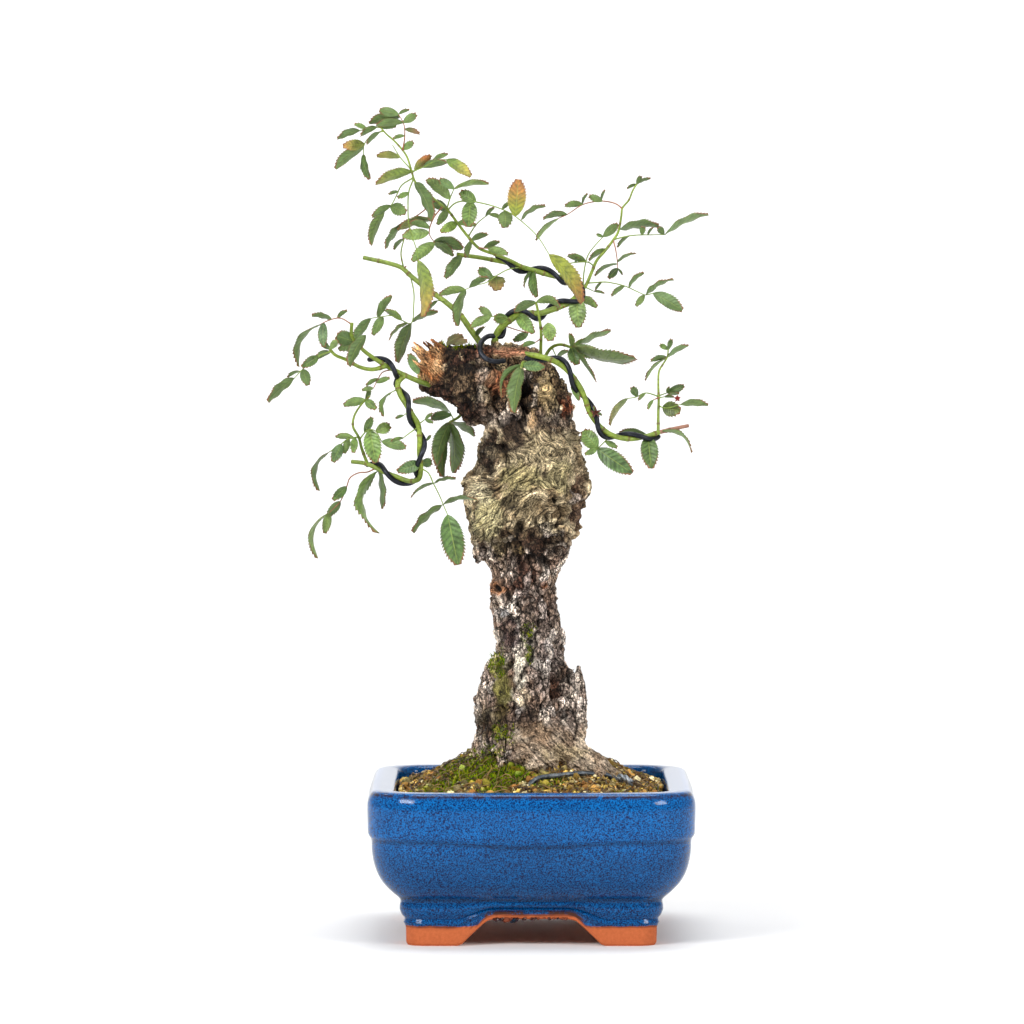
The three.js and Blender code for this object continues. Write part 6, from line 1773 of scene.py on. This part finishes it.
RIGHT_SPRAY_STEMS = [
    (0.9, 0.6, [(4, 266, 2), (9, 275, 2), (13.7, 277, -3), (19.4, 275.6, -8), (23, 275, -10)]),
]
RIGHT_SPRAY_LEAVES = [
    (0, [(19, 275.7)], [
        (13.7, 277, 49.8, 272.8, 6.6, -18, -6), (15, 276.7, 37.3, 283.6, 3, 8, -1),
        (19.4, 275.6, 21.7, 267.6, 6.4, -4), (23, 275, 33.8, 271.8, 6.6, 2),
        (21, 275.3, 31.3, 260, 2, -12, -2), (9.5, 275.2, 18.6, 282.4, 2.8, -5),
    ]),
    (2, [(10, 275.4), (12, 271)], [(12, 271, 17, 274, 2.2, 5)]),
]

UNDER_ARM_SPRAY_STEMS = [
    (0.8, 0.6, [(-31, 250, 6), (-33.5, 243.5, 8), (-36.3, 241.5, 6), (-38.4, 240.5, 3)]),
]
UNDER_ARM_SPRAY_LEAVES = [
    (0, [(-38.2, 240.5)], [
        (-38.3, 240.5, -45, 220.2, 6.6, -5), (-37, 241, -42.8, 215, 6.4, 6),
        (-35, 242.5, -35.8, 217.3, 7, 14), (-33.6, 243.3, -27, 234.6, 3.6, 12),
    ]),
    (7, [(-36.5, 241.6), (-38.5, 245.7)], [
        (-38.5, 245.7, -55.3, 251, 4.6, 8), (-37.5, 244, -47.6, 242.5, 4.6, -6),
    ]),
]

# Leafy stems

BLADE_PROPORTION = 0.42
BLADE_FOLD = 0.25
BLADE_SAG = 0.06
BLADE_DROOP = 0.07
BLADE_WAVE = 0.035
BLADE_THICKNESS = 0.3
BLADE_COLUMNS = (-1, -0.8, -0.42, 0, 0.42, 0.8, 1)
TOOTH_LENGTH = 1.45
STALK_RADIUS = 0.3
STEM_SIDES = 10

# Stems at least this thick have prickles
STOUT_RADIUS = 1.15

FRESH_TINTS = [
    (92, 118, 60), (104, 130, 66), (114, 142, 72), (96, 124, 72), (122, 146, 76), (82, 106, 54),
]
STEM_GREEN = (88, 108, 34)
STEM_LIGHT = (144, 164, 62)
NODE_BROWN = (96, 60, 40)
PITH_PALE = (206, 198, 150)
STALK_GREEN = (122, 144, 62)
STALK_RED = (150, 100, 70)

# Leaflets that are not fresh green, found by their tip: across and up, root and tip colour
ODD_LEAFLETS = [
    (-6, 355, (146, 150, 14), (214, 118, 54)), (25, 297, (172, 176, 44), (170, 84, 36)),
    (-50.2, 290, (136, 154, 54), (206, 160, 70)), (-28.3, 356.5, (128, 160, 60), (206, 184, 80)),
    (-47.3, 366.5, (140, 146, 50), (190, 84, 36)), (-73.5, 353, (126, 146, 58), (176, 160, 76)),
    (-88.5, 370.5, (140, 150, 66), (190, 140, 84)), (-66.3, 382.5, (216, 190, 40), (236, 206, 50)),
    (-52.5, 376.5, (120, 110, 60), (150, 80, 70)), (-72.5, 366, (150, 160, 60), (186, 170, 80)),
    (-42.5, 330.3, (128, 160, 70), (150, 176, 84)), (22.4, 285.2, (128, 152, 86), (146, 172, 104)),
    (-17.5, 289.6, (120, 152, 66), (134, 162, 76)), (-45.8, 335.3, (66, 90, 44), (84, 102, 52)),
    (-97.8, 276, (96, 124, 78), (104, 130, 84)), (-42.8, 215, (58, 78, 32), (70, 88, 38)),
    (-35.8, 217.3, (66, 84, 36), (74, 92, 40)), (36.8, 239, (116, 130, 70), (150, 130, 76)),
    (-62.8, 331.8, (112, 120, 58), (130, 120, 66)), (-34.5, 173, (92, 122, 64), (96, 124, 64)),
    (49.8, 272.8, (120, 132, 78), (90, 108, 58)), (71.6, 293.3, (112, 138, 92), (84, 112, 58)),
    (33.8, 271.8, (126, 156, 82), (146, 150, 90)), (70.3, 245.8, (86, 104, 46), (98, 112, 52)),
    (-16, 302.8, (110, 126, 60), (188, 140, 76)), (-76.2, 324, (104, 128, 62), (112, 134, 66)),
]


def leaflet_tint(tip_x, tip_z, chance):
    """The colours at a leaflet's root and at its tip"""
    for x, z, root, tip in ODD_LEAFLETS:
        if math.hypot(x - tip_x, z - tip_z) < 0.3:
            return np.array([rgb(*root), rgb(*tip)])
    fresh = np.array(rgb(*chance.choice(FRESH_TINTS))) * chance.uniform(0.72, 1.4)
    return np.array([fresh, fresh * chance.uniform(0.9, 1.1)])


def leaflet_sides(root, tip, width, normal):
    """The blade's direction, its side and its upper side, turned to show the width from the front"""
    along = unit(tip - root)
    edge = unit(np.cross(along, AWAY))
    facing = np.cross(edge, along)
    full_width = max(width, BLADE_PROPORTION * np.linalg.norm(tip - root))
    turn = math.acos(width / full_width) * (-1 if edge[2] > 0 else 1)
    side = edge * math.cos(turn) + facing * math.sin(turn)
    if np.dot(side, np.cross(along, normal)) < 0:
        side = -side
    return along, edge, side, np.cross(side, along), full_width


def blade_rows(length):
    """The rows of a toothed blade: how far along, how wide, and how far its edge points forward, as
    parts of the whole"""
    teeth = int(np.clip(round(length / TOOTH_LENGTH), 4, 15))
    step = 0.93 / teeth
    rows = [(0.0, 0.05, 0.0), (0.035, 0.25, 0.0)]
    for tooth in range(teeth):
        start = 0.05 + tooth * step
        for part, out, forward in ((0.0, 0.87, 0.0), (0.7, 1.06, 0.55 * step)):
            place = start + part * step
            profile = (4 * place * (1 - place)) ** 0.6 * (1.05 - 0.1 * place)
            rows.append((place, profile * out, forward))
    return [*rows, (1.0, 0.03, 0.0)]


def blade_faces(rows, columns):
    """The upper side, the underside and the rim of a thin blade"""
    upper = grid_faces(rows, columns, closed=False)
    size = rows * columns
    rim = list(range(columns))
    rim += [row * columns + columns - 1 for row in range(1, rows)]
    rim += list(range(size - 2, size - columns - 1, -1))
    rim += [row * columns for row in range(rows - 2, 0, -1)]
    under = [tuple(corner + size for corner in face[::-1]) for face in upper]
    sides = [(b, a, a + size, b + size) for a, b in zip(rim, rim[1:] + rim[:1])]
    return [*upper, *under, *sides]


def add_leaflet(shape, root, tip, width, bow, normal, tint, chance):
    """A folded, sagging blade with forward teeth along both edges"""
    along, edge, side, up, full_width = leaflet_sides(root, tip, width, normal)
    lift = -1 if up[2] < 0 else 1
    length = np.linalg.norm(tip - root)
    sag = BLADE_SAG * length * chance.uniform(0.7, 1.6)
    droop = BLADE_DROOP * length * chance.uniform(0.2, 1.0)
    wave = BLADE_WAVE * full_width * chance.uniform(0.3, 1.6)
    phase = chance.uniform(0, 6.28)
    rows = blade_rows(length)
    points = []
    places = []
    for place, profile, forward in rows:
        middle = 4 * place * (1 - place)
        for out in BLADE_COLUMNS:
            reach = place + (forward if abs(out) == 1 else 0)
            half = out * profile * full_width / 2
            rise = BLADE_FOLD * abs(half) * (1.15 - 0.3 * abs(out)) + sag * middle
            rise += wave * out * out * math.sin(phase + 16 * place + 1.3 * out) - droop * place ** 3
            points.append(
                root + along * reach * length + edge * bow * middle + side * half + up * lift * rise
            )
            places.append((out, place, 1.0))
    points = np.array(points)
    under = points - up * lift * BLADE_THICKNESS
    places += [(out, place, 0.0) for out, place, _ in places]
    faces = blade_faces(len(rows), len(BLADE_COLUMNS))
    if lift < 0:
        faces = [face[::-1] for face in faces]
    part = np.array([place for _, place, _ in places])[:, None]
    part = blend_in(part + 0.15 * math.sin(phase), 0.2, 0.95)
    colours = (1 - part) * tint[0] + part * tint[1]
    shape.add(np.concatenate([points, under]), faces, colours, places)


def add_stem(shape, stem, chance):
    """A green shoot, or a dead one, with swollen brown nodes; stout ones have prickles"""
    start_radius, end_radius, path, *dead = stem
    curve = Curve([seen(place) for place in path])
    points = curve.even(0.6)
    part = np.linspace(0, 1, len(points))
    reaches = part * curve.length
    nodes = np.arange(chance.uniform(4, 9), curve.length, chance.uniform(12, 17))
    node = np.zeros(len(points))
    for place in nodes:
        node = np.maximum(node, np.exp(-((reaches - place) / 0.5) ** 2))
    radii = (start_radius + (end_radius - start_radius) * part) * (1 + 0.2 * node)
    vertices, faces = tube(points, radii, STEM_SIDES)
    rows = np.repeat(np.arange(len(points)), STEM_SIDES)
    rows = np.concatenate([rows, [0, len(points) - 1]])
    tone = np.array([0.5 + 0.5 * noise.noise(Vector(v) * 0.14) for v in vertices])
    colour = between(STEM_GREEN, STEM_LIGHT, tone)
    if dead:
        colour = np.outer(0.8 + 0.4 * tone, rgb(*dead[0]))
    brown = (node[rows] * 0.9)[:, None]
    colour = colour * (1 - brown) + np.array(rgb(*NODE_BROWN)) * brown
    colour[-1] = rgb(*PITH_PALE)
    shape.add(vertices, faces, colour)
    if start_radius < STOUT_RADIUS:
        return
    for place in nodes[1::2] + 3.5:
        if place < curve.length - 3:
            add_prickle(shape, curve, place, np.interp(place, reaches, radii), chance)


def add_prickle(shape, curve, reach, radius, chance):
    """A short hooked prickle that points back down the shoot"""
    along = curve.direction(reach)
    turn = chance.uniform(0, 6.28)
    first = unit(np.cross(along, [0.3, 0.2, 0.9]))
    out = first * math.cos(turn) + np.cross(along, first) * math.sin(turn)
    root = curve.at(reach) + out * radius * 0.7
    path = [root, root + out * 0.9 - along * 0.1, root + out * 1.7 - along * 0.6]
    shape.add(*tube(path, [0.55, 0.3, 0.05], sides=5), rgb(150, 92, 62))


def stalk_line(root, away, stalk):
    """The line of a leaf's stalk from its root on a stem, or None for a leaf without one"""
    run = len(stalk) - 1
    if run == 0:
        return None
    rest = [seen((x, z, root[1] + away * (i + 1) / run)) for i, (x, z) in enumerate(stalk[1:])]
    return Curve([root, *rest])


def add_stalk(shape, line, chance):
    points = line.even(1.5)
    radii = np.linspace(STALK_RADIUS * 1.25, STALK_RADIUS * 0.75, len(points))
    radii[0] *= 1.7
    colour = STALK_RED if chance.random() < 0.25 else STALK_GREEN
    shape.add(*tube(points, radii, sides=6), rgb(*colour))


def add_leaf(stems_shape, blades_shape, curves, leaf, chance):
    """A leaf: its stalk, when it has one, and its leaflets"""
    away, stalk, leaflets = leaf
    roots = [curve.at(curve.nearest(*stalk[0])) for curve in curves]
    root = min(roots, key=lambda point: np.linalg.norm(shown(point)[0] - stalk[0]))
    line = stalk_line(root, away, stalk)
    if line is not None:
        add_stalk(stems_shape, line, chance)
    for i, (root_x, root_z, tip_x, tip_z, width, *more) in enumerate(leaflets):
        base = root if line is None else line.at(line.nearest(root_x, root_z))
        size = math.hypot(tip_x - root_x, tip_z - root_z)
        lean = more[0] if more else (-0.3 if i % 2 == 0 else 0.3) * size
        bow = more[1] if len(more) > 1 else 0
        tip = seen((tip_x, tip_z, base[1] + lean))
        way = unit(tip - base) if line is None else line.direction(line.nearest(root_x, root_z))
        normal = np.cross(unit(np.cross(way, AWAY)), way)
        tint = leaflet_tint(tip_x, tip_z, chance)
        add_leaflet(blades_shape, base, tip, width, bow, normal, tint, chance)


def leafy_stem(node, stems, leaves, seed, stem_material, leaf_material):
    chance = random.Random(seed)
    stems_shape = Shape()
    blades_shape = Shape()
    for stem in stems:
        add_stem(stems_shape, stem, chance)
    curves = [Curve([seen(place) for place in stem[2]]) for stem in stems]
    for leaf in leaves:
        add_leaf(stems_shape, blades_shape, curves, leaf, chance)
    stems_shape.build(node + "_stems", stem_material, [node])
    blades_shape.build(node + "_leaflets", leaf_material, [node])


LEAFY_PARTS = {
    "branch_top": (TOP_STEMS, TOP_LEAVES),
    "shoot_cut": (CUT_SHOOT_STEMS, CUT_SHOOT_LEAVES),
    "branch_left": (LEFT_STEMS, LEFT_LEAVES),
    "branch_right": (RIGHT_STEMS, RIGHT_LEAVES),
    "spray_front": (FRONT_SPRAY_STEMS, FRONT_SPRAY_LEAVES),
    "spray_upright": (UPRIGHT_SPRAY_STEMS, UPRIGHT_SPRAY_LEAVES),
    "spray_right": (RIGHT_SPRAY_STEMS, RIGHT_SPRAY_LEAVES),
    "spray_under_arm": (UNDER_ARM_SPRAY_STEMS, UNDER_ARM_SPRAY_LEAVES),
}


def leafy_stems():
    stem_material = stem_paint()
    leaf_material = leaf_paint()
    for seed, (node, (stems, leaves)) in enumerate(LEAFY_PARTS.items(), SEED):
        leafy_stem(node, stems, leaves, seed, stem_material, leaf_material)
    withered_bits(leaf_material, stem_material)


# Wires

WIRE_RADIUS = 1.2

# The wire that ties the roots down: up through one hole, across the soil, and down through the other
ANCHOR_ROUTE = [
    (0, 36, 14), (0, 38, 22), (2, 41, 30), (16, 43, 38), (38, 26, 48), (44, 0, 54), (47, -22, 62),
    (45, -26.5, 69.5), (40.5, -26, 73), (37, -26, 75.2), (31, -28.5, 76.2), (22.8, -33, 76.9),
    (13.5, -38, 76.4), (2, -42, 74.8), (-2, -45, 70), (-3, -44, 60), (0, -39, 36), (0, -38, 22),
    (0, -36, 14), (0, -20, 11.5), (0, 20, 11.5), (0, 33, 12.2),
]
OVER_KNUCKLE = [
    (-12, 269.5, -19), (-17, 269, -19.3), (-21.5, 270.5, -19), (-24, 274, -17), (-23.5, 278, -13),
    (-20, 281, -9),
]


# The bright twisted end of that wire, and how far one twist reaches
TWIST_ROUTE = [(41, 72.6, -29), (44.5, 72, -30), (47.8, 69.6, -31)]
TWIST_RISE = 5.5
TWIST_STRAND_RADIUS = 0.85

# Dry blades on the arm: root, tip and width; withered buds: middle, reach and colour
DRY_BLADES = [
    ((-40, 277, -9), (-32, 281, -11), 4.4), ((-33, 277.5, -8), (-39, 280.5, -6), 3.6),
    ((-36, 277, -12), (-30, 278.5, -14), 3.2),
]
BUDS = [((30.5, 245, -19), 2.9, (84, 46, 34)), ((69, 251.6, -3), 1.6, (130, 48, 40))]


def wound(path, radii, rise, first_turn):
    """A wire wound round a tapering stem, a fixed rise for each turn"""
    curve = Curve([seen(place) for place in path])
    turns = curve.length / rise
    steps = round(turns * 24)
    reaches = np.linspace(0, curve.length, steps + 1)
    centres = curve.at(reaches)
    tangents = np.gradient(centres, axis=0)
    tangents /= np.linalg.norm(tangents, axis=1)[:, None]
    guide = unit(np.cross(tangents[0], [0.31, 0.9, 0.3]))
    points = []
    for i, (centre, tangent) in enumerate(zip(centres, tangents)):
        guide = unit(guide - tangent * np.dot(guide, tangent))
        part = i / steps
        angle = 2 * math.pi * (first_turn + turns * part)
        reach = radii[0] + (radii[1] - radii[0]) * part + WIRE_RADIUS * 0.95
        points.append(
            centre + reach * (guide * math.cos(angle) + np.cross(tangent, guide) * math.sin(angle))
        )
    return points


def wire(name, points, material, nodes):
    points = Curve(points).even(0.8)
    radii = np.full(len(points), WIRE_RADIUS)
    radii[0] = radii[-1] = WIRE_RADIUS * 0.85
    shape = Shape()
    shape.add(*tube(points, radii, sides=14))
    shape.build(name, material, nodes)


def wires():
    black = wire_paint("black_wire", rgb(26, 29, 36), rgb(72, 76, 86), 0.55)
    grey = wire_paint("grey_wire", rgb(66, 72, 78), rgb(150, 154, 158), 0.6)
    over = [seen(place) for place in OVER_KNUCKLE]
    top = [*over, *wound(HAIRPIN[1:-2], (1.7, 1.1), 24, 0.55)]
    upper = wound(LEFT_BRANCH[3:6], (1.3, 1.1), 19, 0.1)
    left = [*upper[::-1], *wound(LOWER_BRANCH[1:-1], (1.4, 1.1), 24, 0.6)]
    right = wound(RIGHT_BRANCH[1:], (1.35, 1.2), 27, 0.3)
    wire("wire_on_top_branch", top, black, ["wire_top"])
    wire("wire_on_left_branch", left, black, ["wire_left"])
    wire("wire_on_right_branch", right, black, ["wire_right"])
    anchor = [np.array(place, float) for place in ANCHOR_ROUTE]
    wire("wire_over_roots", anchor, grey, ["anchor_wire"])


def twisted_end():
    """The bright twisted stub at the right end of the wire over the roots"""
    shape = Shape()
    line = Curve([seen(place) for place in TWIST_ROUTE])
    for strand in range(2):
        points = []
        for reach in np.linspace(0, line.length, 60):
            turn = math.pi * strand + 2 * math.pi * reach / TWIST_RISE
            way = np.array([0.0, math.cos(turn), math.sin(turn)])
            points.append(line.at(reach) + way * 0.95)
        radii = np.full(len(points), TWIST_STRAND_RADIUS)
        radii[-1] = 0.5
        shape.add(*tube(points, radii, sides=10))
    metal = wire_paint("twist_metal", rgb(120, 126, 132), rgb(206, 210, 214), 0.7)
    shape.build("wire_twist", metal, [])


def withered_bits(leaf_material, stem_material):
    """The dry crinkled leaf on the arm, and the withered and the red bud on the right branch"""
    chance = random.Random(SEED)
    blades = Shape()
    dry = np.array([rgb(84, 46, 36), rgb(120, 76, 50)])
    for root, tip, width in DRY_BLADES:
        add_leaflet(blades, seen(root), seen(tip), width, 0.8, AWAY, dry, chance)
    blades.build("dry_leaf", leaf_material, [])
    buds = Shape()
    for middle, reach, colour in BUDS:
        centre = seen(middle)
        for turn in np.arange(5) * 1.26 + reach:
            tip = centre + reach * np.array([math.cos(turn), -0.5, math.sin(turn)])
            path = [centre, centre * 0.4 + tip * 0.6, tip]
            buds.add(*tube(path, [0.5, 0.55, 0.1], sides=5), rgb(*colour))
    buds.build("buds", stem_material, [])


# Carried over from the frame

def drain_screens():
    paint = mesh_paint()
    for name in ("drain_screen_front", "drain_screen_back"):
        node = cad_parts[name]
        node.data.materials.clear()
        node.data.materials.append(paint)


# Floor, light and camera

# The floor's reach to each side, and its outline away from the eye and up, in metres
FLOOR_REACH = 9
FLOOR_OUTLINE = [(-6, 0), (4, 0), (5.5, 0.15), (6.6, 0.8), (7, 2), (7, 9)]


def stage():
    """A pale floor that curves up into a pale wall far behind"""
    points = []
    for y, z in FLOOR_OUTLINE:
        points += [(-FLOOR_REACH, y, z), (FLOOR_REACH, y, z)]
    faces = [(i, i + 1, i + 3, i + 2) for i in range(0, len(points) - 2, 2)]
    mesh = bpy.data.meshes.new("floor")
    mesh.from_pydata(points, [], faces)
    mesh.polygons.foreach_set("use_smooth", [True] * len(mesh.polygons))
    mesh.materials.append(floor_paint())
    floor = bpy.data.objects.new("floor", mesh)
    bpy.context.collection.objects.link(floor)


def soft_light(name, place, aim, size, power):
    """A flat lamp: its place, what it faces and its size in metres, and its power in watts"""
    light = bpy.data.lights.new(name, "AREA")
    light.shape = "RECTANGLE"
    light.size, light.size_y = size
    light.energy = power
    lamp = bpy.data.objects.new(name, light)
    lamp.location = place
    lamp.rotation_euler = (Vector(aim) - Vector(place)).to_track_quat("-Z", "Y").to_euler()
    bpy.context.collection.objects.link(lamp)


def lights():
    world = bpy.data.worlds.new("studio")
    world.use_nodes = True
    background = world.node_tree.nodes["Background"]
    background.inputs["Color"].default_value = (1, 1, 1, 1)
    background.inputs["Strength"].default_value = 0.4
    bpy.context.scene.world = world
    middle = (0, 0, 0.18)
    soft_light("key", (-1.5, -1.7, 1.5), middle, (1.3, 0.65), 54)
    soft_light("fill", (1.7, -1.4, 1.1), middle, (0.9, 0.65), 28)
    soft_light("top", (0.1, 0.2, 2.2), middle, (1.2, 1.2), 26)
    soft_light("wall", (0, 3.8, 4.4), (0, 7, 0.5), (7, 1.5), 300)


def camera():
    lens = bpy.data.cameras.new("camera")
    lens.lens = LENS
    lens.sensor_width = 36
    lens.sensor_fit = "HORIZONTAL"
    lens.clip_end = 100
    eye = Vector((EYE + SHIFT) * MM)
    aim = Vector((AIM + SHIFT) * MM)
    holder = bpy.data.objects.new("camera", lens)
    holder.location = eye
    holder.rotation_euler = (aim - eye).to_track_quat("-Z", "Y").to_euler()
    bpy.context.collection.objects.link(holder)
    bpy.context.scene.camera = holder


camera()
pot()
trunk()
soil()
leafy_stems()
wires()
twisted_end()
drain_screens()
stage()
lights()
bpy.context.scene.view_settings.view_transform = "Standard"
